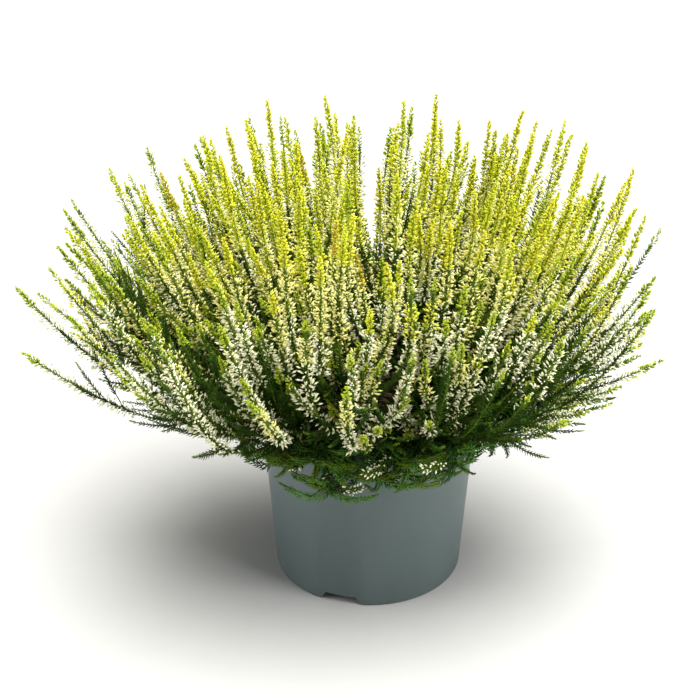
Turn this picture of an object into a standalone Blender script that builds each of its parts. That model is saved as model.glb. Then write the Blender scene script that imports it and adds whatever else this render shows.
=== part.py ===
"""A heather in flower in its plastic pot.

Metres, +Z up. The origin is the middle of the pot's flat underside, and the front faces -Y.
Pot, peat, stem, boughs and masses of shoots are separate solids with a gap of 0.3 mm between them.
"""
import math
import random
from collections import namedtuple

import bmesh
import bpy
from mathutils import Matrix, Vector

GAP = 0.0003
MERGE = 0.00001

# Pot
POT_HEIGHT = 0.125
POT_BASE_RADIUS = 0.0625
POT_WALL_TOP_RADIUS = 0.0712
POT_LIP_RADIUS = 0.075
POT_LIP_HEIGHT = 0.0075
POT_WALL = 0.0015
POT_FLOOR = 0.0018
POT_LIP_SLOPE = 0.0005
POT_HEEL = 0.0008
POT_INNER_BEVEL = 0.001
POT_SIDES = 36
CUTTER_EXCESS = 0.004

# Drainage channels under the pot, the first a little left of the front
CHANNELS = 3
CHANNEL_FIRST_AZIMUTH = 252.6
CHANNEL_WIDTH = 0.029
CHANNEL_TOP_WIDTH = 0.021
CHANNEL_HEIGHT = 0.0064
CHANNEL_LENGTH = 0.026
DRAIN_RADIUS = 0.0043
DRAIN_OFFSET = 0.012
DRAIN_SIDES = 12

# Peat and stem
PEAT_DEPTH_BELOW_LIP = 0.008
PEAT_CROWN = 0.0012
PEAT_FLAT_RADIUS = 0.016
STEM_FOOT_RADIUS = 0.0125
STEM_RADIUS = 0.009
STEM_SIDES = 16
STEM_ARC_STEPS = 6
STEM_FLARE_SHARES = (0.45, 0.72, 1.0)

# How shoots grow: out from the crown's middle, curving up as they go, low ones less
SMALL_STEP = 0.00001
CEILING_SLOPE = 1.4
CROWN_HEIGHT = POT_HEIGHT
CROWN_RISE = 0.014
LIFT = 0.8
LIFT_GROWTH = 11.0
FRONT_LIFT = 0.5
LEFT_SAG = 0.36
LOW_CLIMB = -0.174
FULL_LIFT_CLIMB = 0.174
LOW_LIFT_SHARE = 0.25

# How far spikes reach from the crown's middle
REACH = 0.183
TOP_REACH = 0.008
LEFT_REACH = 0.054
RIGHT_REACH = 0.016
LOW_REACH_CLIMB = 0.34
FRONT_LOSS = 0.056
FRONT_LOSS_CLIMB = 0.80
BACK_LOSS = 0.014

# The lowest climb of a spike, by side
LOWEST_CLIMB = -0.085
LEFT_DROOP = 0.02
FRONT_CLIMB = 0.12
FRONT_LEFT_CLIMB = 0.12
BACK_CLIMB = 0.10

# A narrow gap behind the crown's middle where the sky shows from the front, above a rising floor
SKY_GAP_MIDDLE = 0.0013
SKY_GAP_HALF_WIDTH = 0.0045
SKY_GAP_FLOOR = 0.243
SKY_GAP_SLOPE = 0.54

# Boughs and the stems of the masses
BOUGH_RADIUS = 0.0018
BOUGH_TIP_RADIUS = 0.00125
BOUGH_END = 0.0577
BOUGH_POINTS = 3
BOUGH_START_STEP = 0.00005
BOUGH_RIM_POINTS = 6
STALK_RADIUS = 0.0012
STALK_TIP_RADIUS = 0.0004

# Flower spikes: a leafy whorl low down, whorls of buds on a slim core, and a leafy tip
FLOWER_LENGTH = 0.070
LEAFY_TIP_LENGTH = 0.028
FLOWER_SHARE = 0.58
LEAFY_TIP_SHARE = 0.22
WHORLS = 3
LEAF_WHORL_PLACE = 0.45
LEAF_RADIUS = 0.0045
BUD_RADIUS = 0.0060
CORE_RADIUS = 0.0026
TIP_RADIUS = 0.0028
WHORL_PEAK = 0.62
WHORL_TAPER = 0.04
TIP_PLACE = 0.35
SPIKE_BEND = 0.075
SPIKE_LEAVE = 0.062
SPIKE_LEAVE_SPREAD = 0.022
SHORTEST_SPIKE = 0.80
AIM_SPREAD = 0.42
AIM_TRIES = 70
RING_SIDES = 3

# Foot shoots: they come over the pot's lip from the stem and hang outside it
FOOT_MASSES = 8
FOOT_SEED = 100
FOOT_START_HEIGHT = 0.1228
FOOT_START_RADIUS = 0.0103
FOOT_OVER_LIP_HEIGHT = 0.1273
FOOT_OVER_LIP_RADIUS = 0.076
FOOT_FORK_RADIUS = 0.0785
FOOT_STEM_END_RADIUS = 0.0815
FOOT_STEM_SAG = 25.0
FOOT_REACH = 0.100
FOOT_SIDE_REACH = 0.010
FOOT_REACH_SPREAD = 0.006
FOOT_DROP = 0.015
FOOT_SIDE_LIFT = 0.009
FOOT_DROP_SPREAD = 0.22
FOOT_NEEDLE_RADIUS = 0.0068
FOOT_CORE_RADIUS = 0.0022
FOOT_TIP_RADIUS = 0.0008
FOOT_WHORLS = 3
FOOT_SHOOTS = 3
FOOT_FAN = 30.0
FOOT_FAN_SPREAD = 1.5
FOOT_STEM_LEAF_RADIUS = 0.0036
FOOT_STEM_LEAVES = ((0.40, 0.55, 0.62), (0.62, 0.77, 0.84))

# The surface between the foot shoots and the masses above, as radius and height
FOOT_CEILING = ((0.050, 0.1295), (0.076, 0.1310), (0.088, 0.1340), (0.104, 0.1320), (0.128, 0.1180))

Ring = namedtuple("Ring", "name masses elevation front_rise first_azimuth spikes")
RINGS = (
    Ring("crown", 1, 84.0, 0.0, 0.0, 4),
    Ring("top", 5, 58.0, 0.0, 62.0, 4),
    Ring("mid", 8, 31.0, 2.0, 348.0, 5),
    Ring("low", 10, 4.0, 4.0, 12.0, 5),
)

Finish = namedtuple("Finish", "colour roughness")
POT_FINISH = Finish((0.13, 0.18, 0.19), 0.45)
PEAT_FINISH = Finish((0.035, 0.022, 0.014), 0.95)
WOOD_FINISH = Finish((0.13, 0.075, 0.045), 0.85)
SPIKE_FINISH = Finish((0.42, 0.50, 0.12), 0.6)
FOOT_FINISH = Finish((0.07, 0.16, 0.03), 0.6)

Mass = namedtuple("Mass", "name axis borders spikes seed")


def clear_scene():
    """Remove whatever the scene holds."""
    for found in list(bpy.data.objects):
        bpy.data.objects.remove(found, do_unlink=True)


def new_collection(name):
    """Make a collection in the scene."""
    collection = bpy.data.collections.new(name)
    bpy.context.scene.collection.children.link(collection)
    return collection


def dress(piece, finish):
    """Give a piece a Principled material of its own."""
    material = bpy.data.materials.new(piece.name + "_finish")
    material.use_nodes = True
    shader = material.node_tree.nodes["Principled BSDF"]
    shader.inputs["Base Color"].default_value = (*finish.colour, 1.0)
    shader.inputs["Roughness"].default_value = finish.roughness
    shader.inputs["Metallic"].default_value = 0.0
    piece.data.materials.clear()
    piece.data.materials.append(material)


def object_from(name, bm, collection):
    """Turn a bmesh into an object of a collection."""
    mesh = bpy.data.meshes.new(name)
    bm.to_mesh(mesh)
    bm.free()
    piece = bpy.data.objects.new(name, mesh)
    collection.objects.link(piece)
    return piece


def as_cutter(piece):
    """Keep a helper out of the model."""
    piece.hide_render = True
    piece.display_type = "WIRE"
    return piece


def turned(name, profile, sides, collection):
    """Turn a profile of (radius, height), read down its outer side, about the Z axis."""
    bm = bmesh.new()
    points = [bm.verts.new((radius, 0.0, height)) for radius, height in profile]
    for upper, lower in zip(points, points[1:]):
        bm.edges.new((upper, lower))
    piece = object_from(name, bm, collection)
    screw = piece.modifiers.new("turn", "SCREW")
    screw.axis = "Z"
    screw.angle = math.tau
    screw.steps = sides
    screw.render_steps = sides
    screw.use_merge_vertices = True
    screw.merge_threshold = MERGE
    return piece


def boolean(piece, other, operation):
    """Cut or join a piece with another object."""
    modifier = piece.modifiers.new(operation.lower(), "BOOLEAN")
    modifier.operation = operation
    modifier.solver = "EXACT"
    modifier.object = other
    return modifier


def keep_evaluated(piece):
    """Replace a piece's mesh by what its modifiers make of it."""
    graph = bpy.context.evaluated_depsgraph_get()
    mesh = bpy.data.meshes.new_from_object(piece.evaluated_get(graph))
    piece.modifiers.clear()
    piece.data = mesh
    mesh.name = piece.name


def channel_azimuths():
    """Directions of the drainage channels, in degrees."""
    return [CHANNEL_FIRST_AZIMUTH + 360.0 * index / CHANNELS for index in range(CHANNELS)]


def channel_block(name, azimuth, grow, collection):
    """A radial block with slanted sides that cuts a channel, larger by `grow` all round."""
    slant = (CHANNEL_WIDTH - CHANNEL_TOP_WIDTH) / 2 / CHANNEL_HEIGHT
    side_grow = grow * math.hypot(1.0, slant)
    top = CHANNEL_HEIGHT + grow
    inner = POT_BASE_RADIUS - CHANNEL_LENGTH - grow
    outer = POT_BASE_RADIUS + 2 * CUTTER_EXCESS
    bm = bmesh.new()
    bmesh.ops.create_cube(bm, size=1.0)
    for corner in bm.verts:
        height = top if corner.co.z > 0 else -CUTTER_EXCESS
        half_width = CHANNEL_WIDTH / 2 + side_grow - slant * height
        corner.co = Vector((
            outer if corner.co.x > 0 else inner,
            math.copysign(half_width, corner.co.y),
            height,
        ))
    bmesh.ops.rotate(bm, verts=bm.verts, cent=(0, 0, 0),
                     matrix=Matrix.Rotation(math.radians(azimuth), 3, "Z"))
    return as_cutter(object_from(name, bm, collection))


def drain_hole(name, azimuth, collection):
    """A round cutter through the roof of a channel."""
    radius = POT_BASE_RADIUS - CHANNEL_LENGTH + DRAIN_OFFSET
    height = 2 * CHANNEL_HEIGHT
    bm = bmesh.new()
    bmesh.ops.create_cone(bm, cap_ends=True, segments=DRAIN_SIDES, depth=height,
                          radius1=DRAIN_RADIUS, radius2=DRAIN_RADIUS)
    place = Vector((radius * math.cos(math.radians(azimuth)), radius * math.sin(math.radians(azimuth)),
                    CHANNEL_HEIGHT / 2 + height / 2))
    bmesh.ops.translate(bm, verts=bm.verts, vec=place)
    return as_cutter(object_from(name, bm, collection))


def inner_profile(inset, top):
    """The pot's inside as (radius, height) from the top down, set in by `inset`."""
    lip_foot = POT_HEIGHT - POT_LIP_HEIGHT + POT_WALL
    wall = POT_WALL + inset
    floor = POT_FLOOR + inset
    slope = (POT_WALL_TOP_RADIUS - POT_BASE_RADIUS) / (POT_HEIGHT - POT_LIP_HEIGHT)
    profile = [(0.0, top)]
    if top > lip_foot:
        profile += [(POT_LIP_RADIUS - wall, top), (POT_LIP_RADIUS - wall, lip_foot)]
        profile += [(POT_WALL_TOP_RADIUS - wall, lip_foot - POT_LIP_SLOPE)]
    else:
        profile += [(POT_BASE_RADIUS + slope * top - wall, top)]
    foot_radius = POT_BASE_RADIUS + slope * floor - wall
    profile += [(foot_radius, floor + POT_INNER_BEVEL), (foot_radius - POT_INNER_BEVEL, floor), (0.0, floor)]
    return profile


def make_pot(parts, helpers):
    """The moulded pot: tapered wall, outward lip, floor with three raised channels and their drains."""
    lip_foot = POT_HEIGHT - POT_LIP_HEIGHT
    outside = [
        (0.0, POT_HEIGHT),
        (POT_LIP_RADIUS, POT_HEIGHT),
        (POT_LIP_RADIUS, lip_foot + POT_LIP_SLOPE),
        (POT_WALL_TOP_RADIUS, lip_foot),
        (POT_BASE_RADIUS, POT_HEEL),
        (POT_BASE_RADIUS - POT_HEEL, 0.0),
        (0.0, 0.0),
    ]
    pot = turned("pot", outside, POT_SIDES, parts)
    hollow = as_cutter(turned("pot_hollow", inner_profile(0.0, POT_HEIGHT + CUTTER_EXCESS), POT_SIDES, helpers))
    for index, azimuth in enumerate(channel_azimuths(), 1):
        boolean(hollow, channel_block(f"channel_roof_{index}", azimuth, POT_WALL, helpers), "DIFFERENCE")
        boolean(pot, channel_block(f"channel_{index}", azimuth, 0.0, helpers), "DIFFERENCE")
    boolean(pot, hollow, "DIFFERENCE")
    for index, azimuth in enumerate(channel_azimuths(), 1):
        boolean(pot, drain_hole(f"drain_{index}", azimuth, helpers), "DIFFERENCE")
    weld = pot.modifiers.new("weld", "WELD")
    weld.merge_threshold = MERGE
    dress(pot, POT_FINISH)


def make_peat(parts, helpers):
    """The root ball of peat, 0.3 mm inside the pot, slightly domed and flat round the stem."""
    edge_height = POT_HEIGHT - PEAT_DEPTH_BELOW_LIP
    profile = inner_profile(GAP, edge_height)
    profile[:1] = [(0.0, edge_height + PEAT_CROWN), (PEAT_FLAT_RADIUS, edge_height + PEAT_CROWN)]
    peat = turned("root_ball", profile, POT_SIDES, parts)
    for index, azimuth in enumerate(channel_azimuths(), 1):
        block = channel_block(f"peat_clearance_{index}", azimuth, POT_WALL + GAP, helpers)
        boolean(peat, block, "DIFFERENCE")
    dress(peat, PEAT_FINISH)


def make_stem(parts):
    """The short woody stem: flat cut at the peat, root flare, and a domed head the boughs leave."""
    foot = POT_HEIGHT - PEAT_DEPTH_BELOW_LIP + PEAT_CROWN + GAP
    rise = CROWN_RISE + STEM_RADIUS
    profile = []
    for step in range(STEM_ARC_STEPS + 1):
        angle = math.pi / 2 * (1 - step / STEM_ARC_STEPS)
        profile.append((STEM_RADIUS * math.cos(angle), CROWN_HEIGHT + rise * math.sin(angle)))
    profile[0] = (0.0, CROWN_HEIGHT + rise)
    for share in STEM_FLARE_SHARES:
        flare = (STEM_FOOT_RADIUS - STEM_RADIUS) * share ** 3
        profile.append((STEM_RADIUS + flare, CROWN_HEIGHT + (foot - CROWN_HEIGHT) * share))
    profile.append((0.0, foot))
    dress(turned("stem", profile, STEM_SIDES, parts), WOOD_FINISH)


def direction(azimuth, elevation):
    """Unit vector of an azimuth (0 to the right, 90 to the back) and an elevation, in degrees."""
    flat = math.cos(math.radians(elevation))
    turn = math.radians(azimuth)
    return Vector((flat * math.cos(turn), flat * math.sin(turn), math.sin(math.radians(elevation))))


def side_of(vector):
    """Horizontal unit vector under a direction, or nothing straight up."""
    flat = Vector((vector.x, vector.y, 0.0))
    return flat.normalized() if flat.length > SMALL_STEP else flat


def grown(out):
    """Where a shoot is after growing by the vector `out`, lifted as it goes."""
    climb = out.z / out.length
    flat_squared = out.x ** 2 + out.y ** 2
    share = (climb - LOW_CLIMB) / (FULL_LIFT_CLIMB - LOW_CLIMB)
    share = LOW_LIFT_SHARE + (1 - LOW_LIFT_SHARE) * min(max(share, 0.0), 1.0)
    side = side_of(out)
    share *= 1 + FRONT_LIFT * max(0.0, -side.y) ** 2 - LEFT_SAG * max(0.0, -side.x) ** 2
    lift = share * flat_squared * (LIFT + LIFT_GROWTH * math.sqrt(flat_squared))
    return Vector((out.x, out.y, CROWN_HEIGHT + out.z + CROWN_RISE * climb + lift))


def crown_reach(aim):
    """How far a full-length spike reaches along a direction."""
    side = side_of(aim)
    low = min(max(1 - aim.z / LOW_REACH_CLIMB, 0.0), 1.0)
    front_low = max(0.0, 1 - aim.z / FRONT_LOSS_CLIMB)
    reach = REACH + (LEFT_REACH * max(0.0, -side.x) + RIGHT_REACH * max(0.0, side.x)) * low
    reach -= FRONT_LOSS * max(0.0, -side.y) ** 2 * front_low
    reach -= BACK_LOSS * max(0.0, side.y) ** 2
    return reach + TOP_REACH * aim.z ** 4


def lowest_climb(aim):
    """The lowest climb that spikes have on a side of the crown."""
    side = side_of(aim)
    left, front, back = max(0.0, -side.x), max(0.0, -side.y), max(0.0, side.y)
    limit = LOWEST_CLIMB - LEFT_DROOP * left + FRONT_CLIMB * front ** 2 + BACK_CLIMB * back ** 2
    return limit + FRONT_LEFT_CLIMB * left * front


def heading(axis, aim, reach, leave, bend):
    """Direction at a reach, for a shoot that leaves the mass's stem and turns to its aim."""
    share = min(max((reach - leave) / bend, 0.0), 1.0)
    return axis.slerp(aim, 1 - (1 - share) ** 2)


def foot_ceiling(radius):
    """Height of the surface between the foot shoots and the masses above them."""
    for (near, low), (far, high) in zip(FOOT_CEILING, FOOT_CEILING[1:]):
        if radius <= far:
            return low + (high - low) * max(radius - near, 0.0) / (far - near)
    return 0.0


def has_room(out, radius, borders):
    """Whether a ball round a grown point stays in its mass's space, and over the foot shoots."""
    place = grown(out)
    lean_x = (grown(out + Vector((SMALL_STEP, 0, 0))).z - place.z) / SMALL_STEP
    lean_y = (grown(out + Vector((0, SMALL_STEP, 0))).z - place.z) / SMALL_STEP
    stretch = (grown(out + Vector((0, 0, SMALL_STEP))).z - place.z) / SMALL_STEP
    for border in borders:
        rise = border.z / stretch
        slope = math.sqrt((border.x - lean_x * rise) ** 2 + (border.y - lean_y * rise) ** 2 + rise ** 2)
        if out.dot(border) < (radius + GAP) * slope:
            return False
    floor = foot_ceiling(math.hypot(place.x, place.y))
    return place.z - CEILING_SLOPE * (radius + GAP) > floor


def in_sky_gap(out, radius):
    """Whether a grown point with a radius reaches into the gap where the sky shows."""
    place = grown(out)
    aside = abs(place.x - SKY_GAP_MIDDLE)
    return aside < SKY_GAP_HALF_WIDTH + radius and place.z + SKY_GAP_SLOPE * place.y > SKY_GAP_FLOOR


def loft(name, rings, collection):
    """Join rings of three corners, each turned half a side from the last, into a closed core.

    A ring is (middle, radius). The corners of a wide ring stand out as teeth from its neighbours.
    """
    bm = bmesh.new()
    middles = [middle for middle, _ in rings]
    side = None
    rows = []
    for index, (middle, radius) in enumerate(rings):
        along = (middles[min(index + 1, len(rings) - 1)] - middles[max(index - 1, 0)]).normalized()
        if side is None:
            side = along.orthogonal()
        side = (side - along * side.dot(along)).normalized()
        cross = along.cross(side)
        turn = math.pi / RING_SIDES * index
        row = []
        for corner in range(RING_SIDES):
            angle = turn + math.tau * corner / RING_SIDES
            row.append(bm.verts.new(middle + radius * (side * math.cos(angle) + cross * math.sin(angle))))
        rows.append(row)
    for lower, upper in zip(rows, rows[1:]):
        for corner in range(RING_SIDES):
            following = (corner + 1) % RING_SIDES
            bm.faces.new((lower[corner], lower[following], upper[corner]))
            bm.faces.new((lower[following], upper[following], upper[corner]))
    bm.faces.new(tuple(reversed(rows[0])))
    bm.faces.new(tuple(rows[-1]))
    bmesh.ops.recalc_face_normals(bm, faces=bm.faces)
    return object_from(name, bm, collection)


def spike_profile(leave, tip):
    """A spike's core as (reach, radius): stalk with a leafy whorl, whorls of buds, leafy tip."""
    leafy_tip = min(LEAFY_TIP_LENGTH, LEAFY_TIP_SHARE * (tip - leave))
    flowers_end = tip - leafy_tip
    flowers_start = flowers_end - min(FLOWER_LENGTH, FLOWER_SHARE * (tip - leave))
    stalk = flowers_start - leave
    profile = [(leave, STALK_RADIUS), (leave + LEAF_WHORL_PLACE * stalk, STALK_RADIUS)]
    profile.append((leave + (1 + LEAF_WHORL_PLACE) / 2 * stalk, LEAF_RADIUS))
    pitch = (flowers_end - flowers_start) / WHORLS
    for whorl in range(WHORLS):
        at = flowers_start + whorl * pitch
        size = 1.0 - WHORL_TAPER * whorl
        profile += [(at, CORE_RADIUS), (at + WHORL_PEAK * pitch, BUD_RADIUS * size)]
    profile += [(flowers_end, CORE_RADIUS), (flowers_end + TIP_PLACE * leafy_tip, TIP_RADIUS)]
    profile += [(tip, STALK_TIP_RADIUS)]
    return profile


def spike_places(mass, aim, leave, tip):
    """A spike's core as (out, radius), from its profile and its way out of the mass's stem."""
    return [(heading(mass.axis, aim, reach, leave, SPIKE_BEND) * reach, radius)
            for reach, radius in spike_profile(leave, tip)]


def random_aim(mass, chance):
    """A direction near a mass's axis."""
    across = mass.axis.orthogonal().normalized()
    other = mass.axis.cross(across)
    spread = AIM_SPREAD * math.sqrt(chance.random())
    turn = math.tau * chance.random()
    return (mass.axis + spread * (across * math.cos(turn) + other * math.sin(turn))).normalized()


def plan_spikes(mass):
    """Aims, leaving places and tips of a mass's spikes, spread evenly by the best of many tries."""
    chance = random.Random(mass.seed)
    planned = [(mass.axis, BOUGH_END + GAP, crown_reach(mass.axis))]
    for _ in range(mass.spikes):
        best = None
        for _ in range(AIM_TRIES):
            aim = random_aim(mass, chance)
            leave = SPIKE_LEAVE + SPIKE_LEAVE_SPREAD * chance.random()
            length = SHORTEST_SPIKE + (1 - SHORTEST_SPIKE) * chance.random()
            apart = min(aim.angle(other) for other, _, _ in planned)
            if best is not None and apart <= best[0]:
                continue
            if aim.z < lowest_climb(aim):
                continue
            tip = crown_reach(aim) * length
            if all(has_room(out, radius, mass.borders) and not in_sky_gap(out, radius)
                   for out, radius in spike_places(mass, aim, leave, tip)):
                best = (apart, (aim, leave, tip))
        if best is not None:
            planned.append(best[1])
    return planned


def keep_largest_shell(piece):
    """Drop sealed hollows and loose scraps that joining may leave in a mass."""
    bm = bmesh.new()
    bm.from_mesh(piece.data)
    left = set(bm.verts)
    shells = []
    while left:
        shell = [left.pop()]
        for corner in shell:
            for edge in corner.link_edges:
                other = edge.other_vert(corner)
                if other in left:
                    left.discard(other)
                    shell.append(other)
        shells.append(shell)
    largest = max(shells, key=len)
    for shell in shells:
        if shell is not largest:
            bmesh.ops.delete(bm, geom=shell, context="VERTS")
    bm.to_mesh(piece.data)
    bm.free()


def join_shoots(piece, shoots, helpers):
    """Fuse a mass's shoots to its stem with one union on their collection."""
    group = bpy.data.collections.new(piece.name + "_shoots")
    helpers.children.link(group)
    for shoot in shoots:
        helpers.objects.unlink(shoot)
        group.objects.link(shoot)
    union = piece.modifiers.new("shoots", "BOOLEAN")
    union.operation = "UNION"
    union.solver = "EXACT"
    union.operand_type = "COLLECTION"
    union.collection = group
    keep_evaluated(piece)
    for shoot in shoots:
        bpy.data.objects.remove(shoot, do_unlink=True)
    bpy.data.collections.remove(group)
    keep_largest_shell(piece)


def clear_start(axis):
    """The reach at which a bough's end face is just clear of the stem's head."""
    rise = CROWN_RISE + STEM_RADIUS
    reach = STEM_RADIUS + GAP
    across = axis.orthogonal().normalized()
    other = axis.cross(across)
    while True:
        middle = grown(axis * reach)
        clear = True
        for corner in range(BOUGH_RIM_POINTS):
            turn = math.tau * corner / BOUGH_RIM_POINTS
            point = middle + BOUGH_RADIUS * (across * math.cos(turn) + other * math.sin(turn))
            flat = math.hypot(point.x, point.y)
            height = point.z - CROWN_HEIGHT
            size = math.hypot(flat / STEM_RADIUS, height / rise)
            slope = math.hypot(flat / STEM_RADIUS ** 2, height / rise ** 2) / size
            clear = clear and (size - 1) / slope > GAP + BOUGH_START_STEP
        if clear:
            return reach
        reach += BOUGH_START_STEP


def make_bough(name, axis, parts):
    """One tapering limb from the stem's head to the foot of its mass."""
    start = clear_start(axis)
    curve = bpy.data.curves.new(name, "CURVE")
    curve.dimensions = "3D"
    curve.bevel_depth = BOUGH_RADIUS
    curve.bevel_resolution = 1
    curve.use_fill_caps = True
    spline = curve.splines.new("POLY")
    spline.points.add(BOUGH_POINTS - 1)
    for index, point in enumerate(spline.points):
        share = index / (BOUGH_POINTS - 1)
        place = grown(axis * (start + (BOUGH_END - start) * share))
        point.co = (*place, 1.0)
        point.radius = 1 + (BOUGH_TIP_RADIUS / BOUGH_RADIUS - 1) * share
    bough = bpy.data.objects.new(name, curve)
    parts.objects.link(bough)
    dress(bough, WOOD_FINISH)


def make_mass(mass, parts, helpers):
    """A mass of flower spikes that leave one stem."""
    cores = []
    for index, (aim, leave, tip) in enumerate(plan_spikes(mass)):
        rings = [(grown(out), radius) for out, radius in spike_places(mass, aim, leave, tip)]
        cores.append(loft(f"{mass.name}_core_{index}", rings, parts if index == 0 else helpers))
    piece = cores[0]
    piece.name = mass.name
    join_shoots(piece, cores[1:], helpers)
    dress(piece, SPIKE_FINISH)


def plan_masses():
    """The upper masses with their axes and the planes that bound their spaces."""
    named = []
    for ring in RINGS:
        for index in range(ring.masses):
            azimuth = ring.first_azimuth + 360.0 * index / ring.masses
            front = max(0.0, -math.sin(math.radians(azimuth))) ** 2
            axis = direction(azimuth, min(ring.elevation + ring.front_rise * front, 90.0))
            name = ring.name if ring.masses == 1 else f"{ring.name}_{index + 1}"
            named.append((name, axis, ring.spikes))
    masses = []
    for seed, (name, axis, spikes) in enumerate(named, 1):
        borders = [(axis - other).normalized() for other_name, other, _ in named if other_name != name]
        masses.append((name, Mass(f"spikes_{name}", axis, borders, spikes, seed)))
    return masses


def foot_stem(azimuth, radius):
    """A point of a foot stem: rising gently to the pot's lip, then arching down."""
    over = FOOT_OVER_LIP_RADIUS - FOOT_START_RADIUS
    slope = (FOOT_OVER_LIP_HEIGHT - FOOT_START_HEIGHT) / over
    height = FOOT_START_HEIGHT + slope * (radius - FOOT_START_RADIUS)
    beyond = max(0.0, radius - FOOT_OVER_LIP_RADIUS)
    flat = direction(azimuth, 0.0)
    return Vector((radius * flat.x, radius * flat.y, height - FOOT_STEM_SAG * beyond ** 2))


def foot_shoot_rings(azimuth, turn, reach, drop):
    """Rings of a leafy shoot that leaves the foot stem outside the lip and hangs beside the pot."""
    radii = [STALK_RADIUS, FOOT_CORE_RADIUS]
    for _ in range(FOOT_WHORLS):
        radii += [FOOT_NEEDLE_RADIUS, FOOT_CORE_RADIUS]
    radii[-1] = FOOT_TIP_RADIUS
    start = foot_stem(azimuth, FOOT_FORK_RADIUS)
    rings = []
    for index, radius in enumerate(radii):
        share = index / (len(radii) - 1)
        flat = direction(azimuth + turn * math.sqrt(share), 0.0)
        out = FOOT_FORK_RADIUS + (reach - FOOT_FORK_RADIUS) * math.sin(math.pi / 2 * share)
        height = start.z - drop * share * share * (3 - 2 * share)
        rings.append((Vector((out * flat.x, out * flat.y, height)), radius))
    return rings


def make_foot_mass(index, parts, helpers):
    """Dark leafy shoots from the stem's foot that hang over the pot's lip."""
    azimuth = 360.0 * (index + 0.5) / FOOT_MASSES
    sideways = math.cos(math.radians(azimuth)) ** 2
    chance = random.Random(FOOT_SEED + index)
    name = f"foot_shoots_{index + 1}"
    shares = {0.0: STALK_RADIUS, 1.0: STALK_RADIUS}
    for before, peak, after in FOOT_STEM_LEAVES:
        shares.update({before: STALK_RADIUS, peak: FOOT_STEM_LEAF_RADIUS, after: STALK_RADIUS})
    stem_rings = []
    for share, thickness in sorted(shares.items()):
        radius = FOOT_START_RADIUS + (FOOT_STEM_END_RADIUS - FOOT_START_RADIUS) * share
        stem_rings.append((foot_stem(azimuth, radius), thickness))
    piece = loft(name, stem_rings, parts)
    shoots = []
    for number in range(FOOT_SHOOTS):
        turn = FOOT_FAN * (number / (FOOT_SHOOTS - 1) - 0.5) + FOOT_FAN_SPREAD * chance.uniform(-1.0, 1.0)
        reach = FOOT_REACH + FOOT_SIDE_REACH * sideways + FOOT_REACH_SPREAD * chance.uniform(-1.0, 1.0)
        drop = (FOOT_DROP - FOOT_SIDE_LIFT * sideways) * (1 + FOOT_DROP_SPREAD * chance.uniform(-1.0, 1.0))
        rings = foot_shoot_rings(azimuth, turn, reach, drop)
        shoots.append(loft(f"{name}_core_{number}", rings, helpers))
    join_shoots(piece, shoots, helpers)
    dress(piece, FOOT_FINISH)


def build():
    """Make the whole potted plant."""
    clear_scene()
    parts = new_collection("potted_heather")
    helpers = new_collection("helpers")
    make_pot(parts, helpers)
    make_peat(parts, helpers)
    make_stem(parts)
    for name, mass in plan_masses():
        make_bough(f"bough_{name}", mass.axis, parts)
        make_mass(mass, parts, helpers)
    for index in range(FOOT_MASSES):
        make_foot_mass(index, parts, helpers)


build()
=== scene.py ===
"""Looks of a potted heather in flower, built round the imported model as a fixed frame.

Metres, +Z up, the front faces -Y. The shoots follow the solids' growth rule and seeded draws, and
are carried on within the same reach to finer spikes, buds, scale leaves and needles.
"""
import logging
import math
import random
from dataclasses import dataclass, field
from enum import Enum, IntEnum
from typing import Any, Callable, Optional, Protocol, Sequence

import bmesh
import bpy
import numpy as np
from mathutils import Matrix, Vector, noise


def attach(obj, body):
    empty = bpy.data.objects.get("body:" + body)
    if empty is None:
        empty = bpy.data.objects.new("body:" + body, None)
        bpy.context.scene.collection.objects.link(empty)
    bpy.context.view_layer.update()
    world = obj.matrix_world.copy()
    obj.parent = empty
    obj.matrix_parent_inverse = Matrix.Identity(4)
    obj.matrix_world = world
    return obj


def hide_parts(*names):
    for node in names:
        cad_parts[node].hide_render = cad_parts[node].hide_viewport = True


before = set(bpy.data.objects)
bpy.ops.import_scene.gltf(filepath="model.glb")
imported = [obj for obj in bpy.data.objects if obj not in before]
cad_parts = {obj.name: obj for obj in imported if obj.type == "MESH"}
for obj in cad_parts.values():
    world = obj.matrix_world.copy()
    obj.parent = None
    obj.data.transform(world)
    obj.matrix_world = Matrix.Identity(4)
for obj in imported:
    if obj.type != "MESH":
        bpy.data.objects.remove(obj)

LOG = logging.getLogger("potted_heather")
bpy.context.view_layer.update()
BODY = "root"
GAP = 0.0003
SMALL = 0.00001
MOST_TRIANGLES = 190000

Colour = tuple[float, float, float]
Point = tuple[float, float, float]
Span = tuple[float, float]
Array = np.ndarray
Outline = tuple[Array, Array]
Material = bpy.types.Material
Mesh = bpy.types.Mesh
Piece = bpy.types.Object
BMesh = bmesh.types.BMesh


def within(span: Span, share: Any) -> Any:
    """The value at a share of the way along a span, for numbers, arrays and wires."""
    low, high = span
    return low + (high - low) * share


def held(value: float, low: float = 0.0, high: float = 1.0) -> float:
    """A number kept between two limits."""
    return min(max(value, low), high)


# Shader building


def operator(operation: str, flipped: bool = False) -> Callable[["Wire", Any], "Wire"]:
    """Make an operator of wires.

    Args:
        operation: what its Math node does.
        flipped: whether the wire is on the right.

    Returns:
        The operator.
    """
    def apply(wire: "Wire", other: Any) -> "Wire":
        """Add the node."""
        return wire.maths(operation, *((other, wire) if flipped else (wire, other)))

    return apply


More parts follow.
